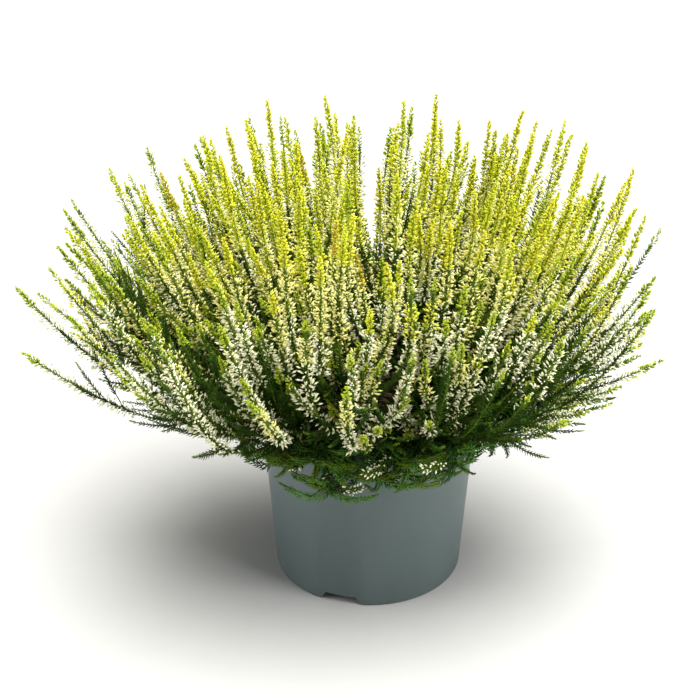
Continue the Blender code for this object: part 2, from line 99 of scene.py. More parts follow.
class Wire:
    """A shader socket whose operators add Math nodes to its tree."""

    __add__, __radd__ = operator("ADD"), operator("ADD", True)
    __sub__, __rsub__ = operator("SUBTRACT"), operator("SUBTRACT", True)
    __mul__, __rmul__ = operator("MULTIPLY"), operator("MULTIPLY", True)

    def __init__(self, weave: "Weave", socket: bpy.types.NodeSocket) -> None:
        """Wrap an output socket of a tree."""
        self.weave = weave
        self.socket = socket

    def maths(self, operation: str, *values: Any) -> "Wire":
        """Add one Math node fed by the values."""
        sockets = dict(enumerate(values))
        return self.weave.node("ShaderNodeMath", {"operation": operation}, sockets)

    def clamp(self, low: float = 0.0, high: float = 1.0) -> "Wire":
        """Keep between two limits."""
        return self.maths("MINIMUM", self.maths("MAXIMUM", self, low), high)

    def ramp(self, low: float, high: float) -> "Wire":
        """Go from 0 at one value to 1 at another, without overshoot."""
        return ((self - low) * (1.0 / (high - low))).clamp()


@dataclass(frozen=True)
class Layer:
    """A layer of noise; its edges are the values between which it goes from nothing to full."""

    scale: float
    detail: float
    rough: float
    edges: Span = (0.0, 1.0)
    stretch: Optional[Point] = None


class Weave:
    """Builds one material's node tree round its Principled shader."""

    def __init__(self, name: str) -> None:
        """Start a material with only its shader and output."""
        self.material = bpy.data.materials.new(name)
        self.material.use_nodes = True
        self.tree = self.material.node_tree
        self.shader = self.tree.nodes["Principled BSDF"]

    def node(self, kind: str, settings: dict[str, Any], sockets: dict[Any, Any],
             out: Any = 0) -> Wire:
        """Add a node.

        Args:
            kind: the node's type.
            settings: attributes that are set first, such as an operation.
            sockets: values or wires for the inputs, by name or number.
            out: the output that the wire stands for.

        Returns:
            The wire of that output.
        """
        made = self.tree.nodes.new(kind)
        for key, value in settings.items():
            setattr(made, key, value)
        for key, value in sockets.items():
            self.feed(made.inputs[key], value)
        return Wire(self, made.outputs[out])

    def feed(self, socket: bpy.types.NodeSocket, value: Any) -> None:
        """Link a wire to a socket, or set its value."""
        if isinstance(value, Wire):
            self.tree.links.new(value.socket, socket)
        elif socket.type == "RGBA":
            socket.default_value = (*value, 1.0)
        else:
            socket.default_value = value

    def place(self) -> Wire:
        """The point being shaded, in the object's own metres."""
        return self.node("ShaderNodeTexCoord", {}, {}, "Object")

    def speckle(self, layer: Layer) -> Wire:
        """A layer's noise from 0 to 1."""
        where = self.place()
        if layer.stretch:
            where = self.node("ShaderNodeMapping", {}, {"Vector": where, "Scale": layer.stretch})
        sockets = {"Vector": where, "Scale": layer.scale, "Detail": layer.detail,
                   "Roughness": layer.rough}
        return self.node("ShaderNodeTexNoise", {}, sockets)

    def cover(self, layer: Layer) -> Wire:
        """How much a layer covers, from nothing to full between its edges."""
        return self.speckle(layer).ramp(*layer.edges)

    def cells(self, scale: float, feature: str = "F1") -> Wire:
        """Distances in a pattern of cells, to their middles or to their edges."""
        sockets = {"Vector": self.place(), "Scale": scale}
        return self.node("ShaderNodeTexVoronoi", {"feature": feature}, sockets, "Distance")

    def between(self, low: Colour | Wire, high: Colour, share: Wire) -> Wire:
        """A colour between two, of which the first may be wired, by a share."""
        sockets = {"Factor": share, "A": low, "B": high}
        made = self.tree.nodes.new("ShaderNodeMix")
        made.data_type = "RGBA"
        for name, value in sockets.items():
            kind = "VALUE" if name == "Factor" else "RGBA"
            self.feed(next(socket for socket in made.inputs
                           if socket.name == name and socket.type == kind), value)
        return Wire(self, next(socket for socket in made.outputs if socket.type == "RGBA"))

    def bump(self, height: Wire, distance: float, strength: float) -> None:
        """Raise the surface by a height wire."""
        sockets = {"Height": height, "Distance": distance, "Strength": strength}
        self.feed(self.shader.inputs["Normal"], self.node("ShaderNodeBump", {}, sockets))

    def set(self, **values: Any) -> None:
        """Feed the shader's sockets, named with underscores for spaces."""
        for name, value in values.items():
            self.feed(self.shader.inputs[name.replace("_", " ")], value)


# Finishes


class Finish(Protocol):
    """Anything that can build a material."""

    def make(self) -> Material:
        """Build the material."""


@dataclass(frozen=True)
class Tissue:
    """Living tissue, such as buds, leaves and green stems: two near colours in a fine mottle."""

    name: str
    pale: Colour
    deep: Colour
    roughness: float = 0.55
    gloss: float = 0.3
    mottle: Layer = Layer(260.0, 2.0, 0.55, (0.34, 0.66))
    grain: Layer = Layer(2340.0, 1.0, 0.55)
    grain_share: float = 0.2
    roughness_spread: float = 0.16
    relief: float = 0.0001
    relief_strength: float = 0.25

    def make(self) -> Material:
        """Build the material."""
        weave = Weave(self.name)
        patch = weave.cover(self.mottle)
        grain = weave.speckle(self.grain)
        share = patch * (1.0 - self.grain_share) + grain * self.grain_share
        smoothest = self.roughness - self.roughness_spread / 2
        weave.set(Base_Color=weave.between(self.deep, self.pale, share.clamp()),
                  Roughness=(grain * self.roughness_spread + smoothest).clamp(),
                  Specular_IOR_Level=self.gloss)
        weave.bump(grain, self.relief, self.relief_strength)
        return weave.material


@dataclass(frozen=True)
class Bark:
    """Thin brown bark with long grey flakes and dark cracks."""

    name: str
    light: Colour = (0.26, 0.17, 0.1)
    dark: Colour = (0.07, 0.042, 0.026)
    crack: Colour = (0.02, 0.012, 0.008)
    flakes: Layer = Layer(520.0, 5.0, 0.65)
    strands: Layer = Layer(210.0, 4.0, 0.6)
    crack_scale: float = 620.0
    flake_share: float = 0.6
    wood_edges: Span = (0.36, 0.66)
    crack_edges: Span = (0.0, 0.12)
    crack_slope: Span = (0.0, 0.2)
    roughness: Span = (0.72, 0.92)
    relief: float = 0.0004
    relief_strength: float = 0.7

    def make(self) -> Material:
        """Build the material."""
        weave = Weave(self.name)
        flakes = weave.speckle(self.flakes)
        strands = weave.speckle(self.strands)
        cracks = weave.cells(self.crack_scale, "DISTANCE_TO_EDGE")
        rest = 1.0 - self.flake_share
        grain = (flakes * self.flake_share + strands * rest).ramp(*self.wood_edges)
        wood = weave.between(self.dark, self.light, grain)
        in_crack = 1.0 - cracks.ramp(*self.crack_edges)
        weave.set(Base_Color=weave.between(wood, self.crack, in_crack),
                  Roughness=within(self.roughness, flakes).clamp())
        height = flakes * self.flake_share + cracks.ramp(*self.crack_slope) * rest
        weave.bump(height, self.relief, self.relief_strength)
        return weave.material


@dataclass(frozen=True)
class Compost:
    """Damp peat: near black brown crumbs with paler fibres."""

    name: str
    crumb: Colour = (0.055, 0.034, 0.021)
    damp: Colour = (0.012, 0.008, 0.006)
    fibre: Colour = (0.16, 0.105, 0.06)
    crumb_scale: float = 480.0
    clumps: Layer = Layer(150.0, 5.0, 0.7)
    fibres: Layer = Layer(900.0, 2.0, 0.8, (0.66, 0.74), (1.0, 0.16, 1.0))
    clump_share: float = 0.6
    crumb_share: float = 0.5
    soil_edges: Span = (0.3, 0.75)
    roughness: Span = (0.75, 0.95)
    crumb_relief: float = 0.7
    relief: float = 0.0008
    relief_strength: float = 0.9

    def make(self) -> Material:
        """Build the material."""
        weave = Weave(self.name)
        crumbs = weave.cells(self.crumb_scale)
        clumps = weave.speckle(self.clumps)
        share = (clumps * self.clump_share + crumbs * self.crumb_share).ramp(*self.soil_edges)
        soil = weave.between(self.damp, self.crumb, share)
        weave.set(Base_Color=weave.between(soil, self.fibre, weave.cover(self.fibres)),
                  Roughness=within(self.roughness, clumps).clamp())
        weave.bump(crumbs * self.crumb_relief + clumps, self.relief, self.relief_strength)
        return weave.material


@dataclass(frozen=True)
class MouldedPlastic:
    """The pot's satin grey-blue plastic, with faint flow marks, dust low down and fine scuffs."""

    name: str = "grey_blue_plastic"
    pale: Colour = (0.075, 0.106, 0.105)
    deep: Colour = (0.063, 0.091, 0.09)
    dust: Colour = (0.1, 0.112, 0.096)
    scuff: Colour = (0.145, 0.17, 0.17)
    flow: Layer = Layer(26.0, 3.0, 0.5, (0.3, 0.7), (1.0, 1.0, 0.35))
    peel: Layer = Layer(900.0, 2.0, 0.5)
    grime: Layer = Layer(120.0, 5.0, 0.65, (0.42, 0.72))
    scuffs: Layer = Layer(300.0, 3.0, 0.6, (0.7, 0.76), (0.3, 0.3, 5.0))
    dust_height: float = 0.016
    dust_share: float = 0.45
    scuff_share: float = 0.22
    roughness: Span = (0.4, 0.5)
    worn_roughness: float = 0.12
    peel_relief: float = 0.25
    flow_relief: float = 1.6
    relief: float = 0.00035
    relief_strength: float = 0.12

    def make(self) -> Material:
        """Build the material."""
        weave = Weave(self.name)
        flow = weave.speckle(self.flow)
        peel = weave.speckle(self.peel)
        scuffs = weave.cover(self.scuffs)
        height = weave.node("ShaderNodeSeparateXYZ", {}, {0: weave.place()}, 2)
        low = 1.0 - height.ramp(0.0, self.dust_height)
        body = weave.between(self.deep, self.pale, flow.ramp(*self.flow.edges))
        dusty = (low * weave.cover(self.grime) * self.dust_share).clamp()
        dusted = weave.between(body, self.dust, dusty)
        rough = within(self.roughness, peel) + (low + scuffs) * self.worn_roughness
        weave.set(Base_Color=weave.between(dusted, self.scuff, scuffs * self.scuff_share),
                  Roughness=rough.clamp())
        weave.bump(peel * self.peel_relief + flow * self.flow_relief, self.relief,
                   self.relief_strength)
        return weave.material


@dataclass(frozen=True)
class StudioFloor:
    """A plain pale floor with a very faint unevenness."""

    name: str = "pale_floor"
    pale: Colour = (0.46, 0.46, 0.455)
    deep: Colour = (0.445, 0.445, 0.44)
    cloud: Layer = Layer(3.0, 2.0, 0.55, (0.3, 0.7))
    roughness: float = 0.7

    def make(self) -> Material:
        """Build the material."""
        weave = Weave(self.name)
        weave.set(Base_Color=weave.between(self.deep, self.pale, weave.cover(self.cloud)),
                  Roughness=self.roughness)
        return weave.material


class Form(Enum):
    """The outlines that the plant's small shapes have."""

    OPEN_BUD = "open bud"
    YOUNG_BUD = "young bud"
    SCALE = "scale leaf"
    NEEDLE = "needle"


@dataclass(frozen=True)
class Small:
    """A kind of small shape: the name of its piece, its outline and its tissue."""

    piece: str
    form: Form
    tissue: Tissue


FRESH_LEAF = Tissue("fresh_leaf", (0.095, 0.16, 0.006), (0.038, 0.086, 0.003), 0.5, 0.1)
YOUNG_STEM = Tissue("young_stem", (0.15, 0.19, 0.014), (0.075, 0.11, 0.007), 0.55, 0.1)
OLD_STEM = Tissue("old_stem", (0.075, 0.052, 0.02), (0.035, 0.026, 0.011), 0.65, 0.08)


class Kind(Enum):
    """The kinds of small shape that shoots carry, each dealt by its place on the plant."""

    WHITE_BUD = Small("open_buds_white_bud", Form.OPEN_BUD, Tissue(
        "white_bud", (0.93, 0.92, 0.68), (0.8, 0.8, 0.46), 0.5))
    CREAM_BUD = Small("open_buds_cream_bud", Form.OPEN_BUD, Tissue(
        "cream_bud", (0.9, 0.86, 0.37), (0.73, 0.7, 0.17), 0.5))
    YELLOW_BUD = Small("half_open_buds", Form.YOUNG_BUD, Tissue(
        "yellow_bud", (0.83, 0.79, 0.12), (0.64, 0.62, 0.045), 0.5))
    LIME_BUD = Small("young_buds_lime_bud", Form.YOUNG_BUD, Tissue(
        "lime_bud", (0.64, 0.66, 0.024), (0.42, 0.47, 0.012), 0.5))
    GOLD_BUD = Small("young_buds_gold_bud", Form.YOUNG_BUD, Tissue(
        "gold_bud", (0.72, 0.69, 0.036), (0.51, 0.51, 0.016), 0.5))
    RUST_BUD = Small("young_buds_rust_bud", Form.YOUNG_BUD, Tissue(
        "rust_bud", (0.66, 0.52, 0.05), (0.44, 0.34, 0.022), 0.52))
    SPRING_BUD = Small("young_buds_spring_bud", Form.YOUNG_BUD, Tissue(
        "spring_bud", (0.42, 0.5, 0.016), (0.24, 0.33, 0.009), 0.5))
    LIME_SCALE = Small("scales_lime_leaf", Form.SCALE, Tissue(
        "lime_leaf", (0.5, 0.56, 0.018), (0.29, 0.38, 0.01), 0.5, 0.15))
    FRESH_SCALE = Small("scales_fresh_leaf", Form.SCALE, FRESH_LEAF)
    # Dark green leaves: their own green, darkened further as painted shade of the crown's lower
    # inside.
    GREEN_SCALE = Small("scales_green_leaf", Form.SCALE, Tissue(
        "green_leaf", (0.027, 0.07, 0.003), (0.01, 0.034, 0.0015), 0.55, 0.06))
    # Near-black leaves, painted shade: set inside the crown, on side shoots deep in it and in the
    # gaps between open buds.
    PAINTED_SHADE_SCALE = Small("scales_painted_shade_leaf", Form.SCALE, Tissue(
        "painted_shade_leaf", (0.009, 0.028, 0.002), (0.0035, 0.012, 0.001), 0.6, 0.05))
    FRESH_NEEDLE = Small("needles_fresh_leaf", Form.NEEDLE, FRESH_LEAF)
    LIP_NEEDLE = Small("needles_mid_green", Form.NEEDLE, Tissue(
        "mid_green", (0.105, 0.245, 0.034), (0.044, 0.134, 0.017), 0.55, 0.06))
    SHADE_NEEDLE = Small("needles_deep_green", Form.NEEDLE, Tissue(
        "deep_green", (0.034, 0.097, 0.016), (0.015, 0.048, 0.008), 0.6, 0.05))


@dataclass(frozen=True)
class Row:
    """How crossed pairs of one kind stand along a stretch of a shoot.

    A span gives a measure at the stretch's start, which is nearest the tip, and at its stop: how
    long and wide what stands there is, and its angle to the stem in degrees. `out` is how far from
    the stem's middle it is rooted, `turn` how far the first pair is turned about the stem, and
    `stalk` the shortest and the longest stalk.
    """

    pitch: float
    length: Span
    width: Span
    angle: Span
    out: float
    turn: float = 0.0
    stalk: Span = (0.0, 0.0)
    stalks_show: bool = False


HALF_CROSS = math.pi / 4
BUD_WIDTH = (0.00145, 0.00155)


class Stand(Enum):
    """The rows in which buds, leaves and needles stand, from the crown's tips to the foot."""

    KNOB = Row(0.00108, (0.0021, 0.0029), (0.0014, 0.0019), (22.0, 42.0), 0.0001)
    YOUNG_BUDS = Row(0.00122, (0.003, 0.0041), (0.0019, 0.002), (40.0, 58.0), 0.0002)
    AMONG_YOUNG = Row(0.001708, (0.0023, 0.003), (0.0009, 0.0011), (28.0, 44.0), 0.0002,
                      HALF_CROSS)
    LEAFY_KNOB = Row(0.00108, (0.002, 0.0027), (0.0011, 0.0015), (24.0, 42.0), 0.0001)
    LEAFY_YOUNG = Row(0.00122, (0.0029, 0.0035), (0.0015, 0.0015), (40.0, 54.0), 0.0002)
    LEAFY_LOWER = Row(0.000918, (0.0033, 0.0035), (0.0013, 0.0013), (44.0, 52.0), 0.0002)
    NEWER_BUDS = Row(0.0008288, (0.0035, 0.0039), (0.0014, 0.0015), (50.0, 66.0), 0.0003,
                     stalk=(0.0003, 0.0024))
    AMONG_NEWER = Row(0.001222, (0.0028, 0.0034), (0.001, 0.0011), (34.0, 48.0), 0.0002,
                      HALF_CROSS)
    OPEN_BUDS = Row(0.00094, (0.0035, 0.004), BUD_WIDTH, (58.0, 68.0), 0.0003,
                    stalk=(0.0008, 0.0027), stalks_show=True)
    AMONG_OPEN = Row(0.001222, (0.0028, 0.0032), (0.001, 0.0012), (36.0, 46.0), 0.0003,
                     HALF_CROSS)
    NO_BUDS = Row(0.002006, (0.0042, 0.0048), (0.0012, 0.0014), (48.0, 60.0), 0.0003)
    UNDER_BUDS = Row(0.00118, (0.003, 0.0034), (0.001, 0.0011), (40.0, 46.0), 0.0003)
    LIT_STALK = Row(0.00118, (0.0038, 0.004), (0.0012, 0.0013), (46.0, 54.0), 0.0004)
    DIM_STALK = Row(0.001475, (0.0038, 0.004), (0.0012, 0.0013), (46.0, 54.0), 0.0004)
    DARK_STALK = Row(0.002124, (0.004, 0.0038), (0.0014, 0.0014), (52.0, 54.0), 0.0005)
    SIDE_TIP = Row(0.001296, (0.0018, 0.0026), (0.0008, 0.001), (16.0, 36.0), 0.0001)
    SIDE_LEAVES = Row(0.00118, (0.0029, 0.0034), (0.001, 0.0012), (38.0, 52.0), 0.0002)
    COMB_TIP = Row(0.00108, (0.0018, 0.003), (0.0008, 0.0011), (12.0, 46.0), 0.0001)
    COMB_YOUNG = Row(0.0022, (0.0036, 0.0046), (0.0012, 0.0014), (48.0, 58.0), 0.0003)
    COMB_TEETH = Row(0.0022, (0.0053, 0.0053), (0.0015, 0.0015), (58.0, 62.0), 0.0004)
    COMB_BUDS = Row(0.00141, (0.0026, 0.0034), BUD_WIDTH, (40.0, 60.0), 0.0004,
                    stalk=(0.0, 0.0008))
    FOOT_TIP = Row(0.000756, (0.0018, 0.0026), (0.0008, 0.001), (14.0, 34.0), 0.0001)
    FOOT_YOUNG = Row(0.00105, (0.0034, 0.0044), (0.0012, 0.0014), (36.0, 52.0), 0.0002)
    FOOT_OLD = Row(0.00105, (0.0044, 0.0042), (0.0014, 0.0014), (52.0, 60.0), 0.0003)
    FOOT_BUDS = Row(0.001222, (0.0028, 0.0036), BUD_WIDTH, (40.0, 58.0), 0.0004,
                    stalk=(0.0008, 0.002))
    FOOT_STEM = Row(0.00105, (0.004, 0.004), (0.0012, 0.0012), (50.0, 56.0), 0.0004)


# The growth rule of the solids


class Seed(IntEnum):
    """The first seed of each family of shoots."""

    FINER_SPIKE = 9000
    SIDE_SHOOT = 30000
    FOOT_STEM = 40000
    HANGING = 41000
    FINER_HANGING = 42000
    COMB = 43000
    LYING = 45000
    SWAY = 50000


def side_of(vector: Vector) -> Vector:
    """Horizontal unit vector under a direction, or nothing straight up."""
    flat = Vector((vector.x, vector.y, 0.0))
    return flat.normalized() if flat.length > SMALL else flat


def direction(azimuth: float, elevation: float) -> Vector:
    """Unit vector of an azimuth (0 to the right, 90 to the back) and an elevation, in degrees."""
    turn, rise = math.radians(azimuth), math.radians(elevation)
    flat = math.cos(rise)
    return Vector((flat * math.cos(turn), flat * math.sin(turn), math.sin(rise)))


@dataclass(frozen=True)
class Growth:
    """How shoots grow: out from the crown's middle, curving up as they go, low ones less."""

    crown_height: float = 0.125
    crown_rise: float = 0.014
    lift: float = 0.8
    lift_growth: float = 11.0
    front_lift: float = 0.5
    left_sag: float = 0.36
    low_climb: float = -0.174
    full_lift_climb: float = 0.174
    low_lift_share: float = 0.25
    reach: float = 0.183
    top_reach: float = 0.008
    left_reach: float = 0.054
    right_reach: float = 0.016
    low_reach_climb: float = 0.34
    front_loss: float = 0.056
    front_loss_climb: float = 0.8
    back_loss: float = 0.014
    lowest: float = -0.085
    left_droop: float = 0.02
    front_climb: float = 0.12
    front_left_climb: float = 0.12
    back_climb: float = 0.1
    ceiling_slope: float = 1.4
    ceiling: tuple[Span, ...] = (
        (0.05, 0.1295), (0.076, 0.131), (0.088, 0.134), (0.104, 0.132), (0.128, 0.118))
    sky_gap_middle: float = 0.0013
    sky_gap_half_width: float = 0.0045
    sky_gap_floor: float = 0.243
    sky_gap_slope: float = 0.54

    def grown(self, outs: Array) -> Array:
        """Where shoots are after growing by the vectors `outs`, lifted as they go."""
        climb = outs[:, 2] / np.linalg.norm(outs, axis=1)
        flat = np.hypot(outs[:, 0], outs[:, 1])
        side = outs[:, :2] / np.maximum(flat, SMALL)[:, None]
        range_of_climb = self.full_lift_climb - self.low_climb
        share = np.clip((climb - self.low_climb) / range_of_climb, 0.0, 1.0)
        share = self.low_lift_share + (1 - self.low_lift_share) * share
        share *= 1 + self.front_lift * np.maximum(0.0, -side[:, 1]) ** 2 \
            - self.left_sag * np.maximum(0.0, -side[:, 0]) ** 2
        lift = share * flat ** 2 * (self.lift + self.lift_growth * flat)
        height = self.crown_height + outs[:, 2] + self.crown_rise * climb + lift
        return np.column_stack((outs[:, 0], outs[:, 1], height))

    def crown_reach(self, aim: Vector) -> float:
        """How far a full-length spike reaches along a direction."""
        side = side_of(aim)
        low = held(1 - aim.z / self.low_reach_climb)
        front_low = max(0.0, 1 - aim.z / self.front_loss_climb)
        sideways = self.left_reach * max(0.0, -side.x) + self.right_reach * max(0.0, side.x)
        reach = self.reach + sideways * low
        reach -= self.front_loss * max(0.0, -side.y) ** 2 * front_low
        reach -= self.back_loss * max(0.0, side.y) ** 2
        return reach + self.top_reach * aim.z ** 4

    def lowest_climb(self, aim: Vector) -> float:
        """The lowest climb that spikes have on a side of the crown."""
        side = side_of(aim)
        left, front, back = max(0.0, -side.x), max(0.0, -side.y), max(0.0, side.y)
        limit = self.lowest - self.left_droop * left + self.front_climb * front ** 2
        return limit + self.back_climb * back ** 2 + self.front_left_climb * left * front

    def path(self, axis: Vector, aim: Vector, reaches: Array, leave: float,
             bend: float) -> Array:
        """Outward vectors of a shoot that leaves a mass's stem and turns to its aim.

        Args:
            axis: direction of the mass's stem.
            aim: direction that the shoot turns to.
            reaches: reaches at which the vectors are wanted.
            leave: reach at which it leaves the stem.
            bend: reach that the turn takes.

        Returns:
            One outward vector for each reach.
        """
        share = np.clip((reaches - leave) / bend, 0.0, 1.0)
        share = 1 - (1 - share) ** 2
        angle = axis.angle(aim, 0.0)
        if angle < SMALL:
            return reaches[:, None] * np.array(axis)[None, :]
        first = np.sin((1 - share) * angle) / math.sin(angle)
        second = np.sin(share * angle) / math.sin(angle)
        heading = first[:, None] * np.array(axis) + second[:, None] * np.array(aim)
        return heading * reaches[:, None]

    def has_room(self, outs: Array, radii: Array, borders: Array) -> bool:
        """Whether balls round grown points stay in their mass's space and over the foot shoots."""
        places = self.grown(outs)
        steps = [(self.grown(outs + SMALL * along)[:, 2] - places[:, 2]) / SMALL
                 for along in np.eye(3)]
        rise = borders[None, :, 2] / steps[2][:, None]
        slope = np.sqrt((borders[None, :, 0] - steps[0][:, None] * rise) ** 2
                        + (borders[None, :, 1] - steps[1][:, None] * rise) ** 2 + rise ** 2)
        if np.any(outs @ borders.T < (radii[:, None] + GAP) * slope):
            return False
        floor = self.foot_ceiling(np.hypot(places[:, 0], places[:, 1]))
        return bool(np.all(places[:, 2] - self.ceiling_slope * (radii + GAP) > floor))

    def foot_ceiling(self, radii: Array) -> Array:
        """Height of the surface between the foot shoots and the masses above them."""
        reaches, heights = zip(*self.ceiling)
        return np.interp(radii, reaches, heights, right=0.0)

    def in_sky_gap(self, outs: Array, radii: Array) -> bool:
        """Whether grown points with radii reach into the gap where the sky shows."""
        places = self.grown(outs)
        near = np.abs(places[:, 0] - self.sky_gap_middle) < self.sky_gap_half_width + radii
        high = places[:, 2] + self.sky_gap_slope * places[:, 1] > self.sky_gap_floor
        return bool(np.any(near & high))


@dataclass(frozen=True)
class Ring:
    """A ring of masses round the crown, with how many shoots each of them has."""

    name: str
    masses: int
    elevation: float
    front_rise: float
    first_azimuth: float
    spikes: int
    extra_spikes: int
    side_shoots: int
    side_shoot_share: float


@dataclass(frozen=True)
class Mass:
    """One mass of shoots: its ring, its stem's direction, its bounding planes and its seed."""

    name: str
    ring: Ring
    axis: Vector
    borders: Array
    seed: int


@dataclass
class Spike:
    """One flowering shoot of a mass: its aim, the reaches where it leaves the stem and ends."""

    mass: Mass
    aim: Vector
    leave: float
    tip: float
    seed: int
    finer: bool = False


@dataclass
class CrownPlan:
    """Plans the masses and their spikes by the solids' rule, then finer spikes between them."""

    growth: Growth
    rings: tuple[Ring, ...] = (
        Ring("crown", 1, 84.0, 0.0, 0.0, 4, 13, 1, 0.25),
        Ring("top", 5, 58.0, 0.0, 62.0, 4, 14, 1, 0.28),
        Ring("mid", 8, 31.0, 2.0, 348.0, 5, 16, 1, 0.34),
        Ring("low", 10, 4.0, 4.0, 12.0, 5, 12, 3, 0.56),
    )
    bough_end: float = 0.0577
    flower_length: float = 0.07
    leafy_tip_length: float = 0.028
    flower_share: float = 0.58
    leafy_tip_share: float = 0.22
    whorls: int = 3
    leaf_whorl_place: float = 0.45
    leaf_radius: float = 0.0045
    bud_radius: float = 0.006
    core_radius: float = 0.0026
    tip_radius: float = 0.0028
    stalk_radius: float = 0.0012
    stalk_tip_radius: float = 0.0004
    whorl_peak: float = 0.62
    whorl_taper: float = 0.04
    tip_place: float = 0.35
    bend: float = 0.075
    leave: float = 0.062
    leave_spread: float = 0.022
    shortest: float = 0.8
    aim_spread: float = 0.42
    aim_tries: int = 70
    extra_tries: int = 14
    extra_shortest: float = 0.66
    extra_longest: float = 1.0
    extra_front_loss: float = 0.22
    extra_climb: float = 0.07
    extra_low_left_loss: float = 0.24
    extra_low_left_range: float = 0.2
    extra_at_sides: int = 8
    extra_side_loss: float = 0.03
    extra_left_reach: float = 0.1
    extra_left_climb: float = 0.12
    extra_left_range: float = 0.14
    extra_low_climb: float = 0.03
    extra_earliest_leave: float = 0.04
    extra_length_power: float = 0.7
    extra_border_slack: float = 0.02
    extra_beneath_from: float = 0.4
    extra_samples: int = 9
    extra_seed: int = 500

    def masses(self) -> list[Mass]:
        """The upper masses in the solids' order, each with its seed."""
        named = []
        for ring in self.rings:
            for index in range(ring.masses):
                azimuth = ring.first_azimuth + 360.0 * index / ring.masses
                front = max(0.0, -math.sin(math.radians(azimuth))) ** 2
                axis = direction(azimuth, min(ring.elevation + ring.front_rise * front, 90.0))
                name = ring.name if ring.masses == 1 else f"{ring.name}_{index + 1}"
                named.append((name, axis, ring))
        made = []
        for seed, (name, axis, ring) in enumerate(named, 1):
            borders = np.array([tuple((axis - other).normalized())
                                for other_name, other, _ in named if other_name != name])
            made.append(Mass(name, ring, axis, borders, seed))
        return made

    def profile(self, leave: float, tip: float) -> tuple[Array, Array]:
        """A solid spike's core as reaches and radii, which the room test reads."""
        leafy_tip = min(self.leafy_tip_length, self.leafy_tip_share * (tip - leave))
        flowers_end = tip - leafy_tip
        flowers_start = flowers_end - min(self.flower_length, self.flower_share * (tip - leave))
        stalk = flowers_start - leave
        rows = [(leave, self.stalk_radius),
                (leave + self.leaf_whorl_place * stalk, self.stalk_radius),
                (leave + (1 + self.leaf_whorl_place) / 2 * stalk, self.leaf_radius)]
        pitch = (flowers_end - flowers_start) / self.whorls
        for whorl in range(self.whorls):
            at = flowers_start + whorl * pitch
            size = 1.0 - self.whorl_taper * whorl
            rows += [(at, self.core_radius),
                     (at + self.whorl_peak * pitch, self.bud_radius * size)]
        rows += [(flowers_end, self.core_radius),
                 (flowers_end + self.tip_place * leafy_tip, self.tip_radius),
                 (tip, self.stalk_tip_radius)]
        table = np.array(rows)
        return table[:, 0], table[:, 1]

    def random_aim(self, mass: Mass, chance: random.Random) -> Vector:
        """A direction near a mass's axis."""
        across = mass.axis.orthogonal().normalized()
        other = mass.axis.cross(across)
        spread = self.aim_spread * math.sqrt(chance.random())
        turn = math.tau * chance.random()
        aside = across * math.cos(turn) + other * math.sin(turn)
        return (mass.axis + spread * aside).normalized()

    def fits(self, mass: Mass, aim: Vector, leave: float, tip: float) -> bool:
        """Whether a solid spike keeps to its mass's space and out of the sky gap."""
        reaches, radii = self.profile(leave, tip)
        outs = self.growth.path(mass.axis, aim, reaches, leave, self.bend)
        roomy = self.growth.has_room(outs, radii, mass.borders)
        return roomy and not self.growth.in_sky_gap(outs, radii)

    def solid_spikes(self, mass: Mass) -> list[Spike]:
        """The spikes that the mass's solid has, by the same seeded draws."""
        chance = random.Random(mass.seed)
        middle_tip = self.growth.crown_reach(mass.axis)
        planned = [Spike(mass, mass.axis, self.bough_end + GAP, middle_tip, mass.seed)]
        for _ in range(mass.ring.spikes):
            best = None
            for _ in range(self.aim_tries):
                aim = self.random_aim(mass, chance)
                leave = self.leave + self.leave_spread * chance.random()
                length = self.shortest + (1 - self.shortest) * chance.random()
                apart = min(aim.angle(other.aim) for other in planned)
                if best is not None and apart <= best[0] or aim.z < self.growth.lowest_climb(aim):
                    continue
                tip = self.growth.crown_reach(aim) * length
                if self.fits(mass, aim, leave, tip):
                    best = (apart, aim, leave, tip)
            if best is not None:
                planned.append(Spike(mass, *best[1:], mass.seed * 40 + len(planned)))
        return planned

    def extra(self, mass: Mass, planned: list[Spike]) -> list[Spike]:
        """Finer spikes in the same space, set where the planned ones leave most room."""
        chance = random.Random(self.extra_seed + mass.seed)
        made: list[Spike] = []
        usual = mass.ring.extra_spikes
        beneath = mass.axis.x > self.extra_beneath_from and mass.ring.name == "low"
        for number in range(usual + round(self.extra_at_sides * mass.axis.x ** 2)):
            highest = self.extra_low_climb if beneath and number >= usual else 1.0
            best = None
            for _ in range(self.extra_tries):
                aim = self.random_aim(mass, chance)
                inside = float(np.min(mass.borders @ np.array(aim))) > -self.extra_border_slack
                lowest = self.growth.lowest_climb(aim)
                lowest += self.extra_climb * max(0.0, -side_of(aim).x)
                if not inside or not lowest <= aim.z <= highest:
                    continue
                apart = min(aim.angle(other.aim) for other in planned + made)
                if best is None or apart > best[0]:
                    best = (apart, aim)
            if best is None:
                continue
            aim = best[1]
            leave = within((self.extra_earliest_leave, self.leave), chance.random())
            tip = self.growth.crown_reach(aim) * self._extra_share(aim, chance)
            reaches = np.linspace(leave, tip, self.extra_samples)
            outs = self.growth.path(mass.axis, aim, reaches, leave, self.bend)
            if not self.growth.in_sky_gap(outs, np.full(len(outs), -self.stalk_radius)):
                seed = Seed.FINER_SPIKE + mass.seed * 60 + number
                made.append(Spike(mass, aim, leave, tip, seed, True))
        return made

    def _extra_share(self, aim: Vector, chance: random.Random) -> float:
        """Which share of the crown's reach a finer spike has."""
        left = max(0.0, -side_of(aim).x)
        shortest = self.extra_shortest - self.extra_front_loss * max(0.0, -side_of(aim).y)
        longest = self.extra_longest - self.extra_side_loss * abs(aim.x)
        share = within((shortest, longest), chance.random() ** self.extra_length_power)
        beside = max(0.0, 1.0 - abs(aim.z - self.extra_left_climb) / self.extra_left_range)
        share *= 1.0 + self.extra_left_reach * left ** 2 * beside
        above = aim.z - self.growth.lowest_climb(aim)
        under = max(0.0, 1.0 - above / self.extra_low_left_range)
        return share * (1.0 - self.extra_low_left_loss * left * under)


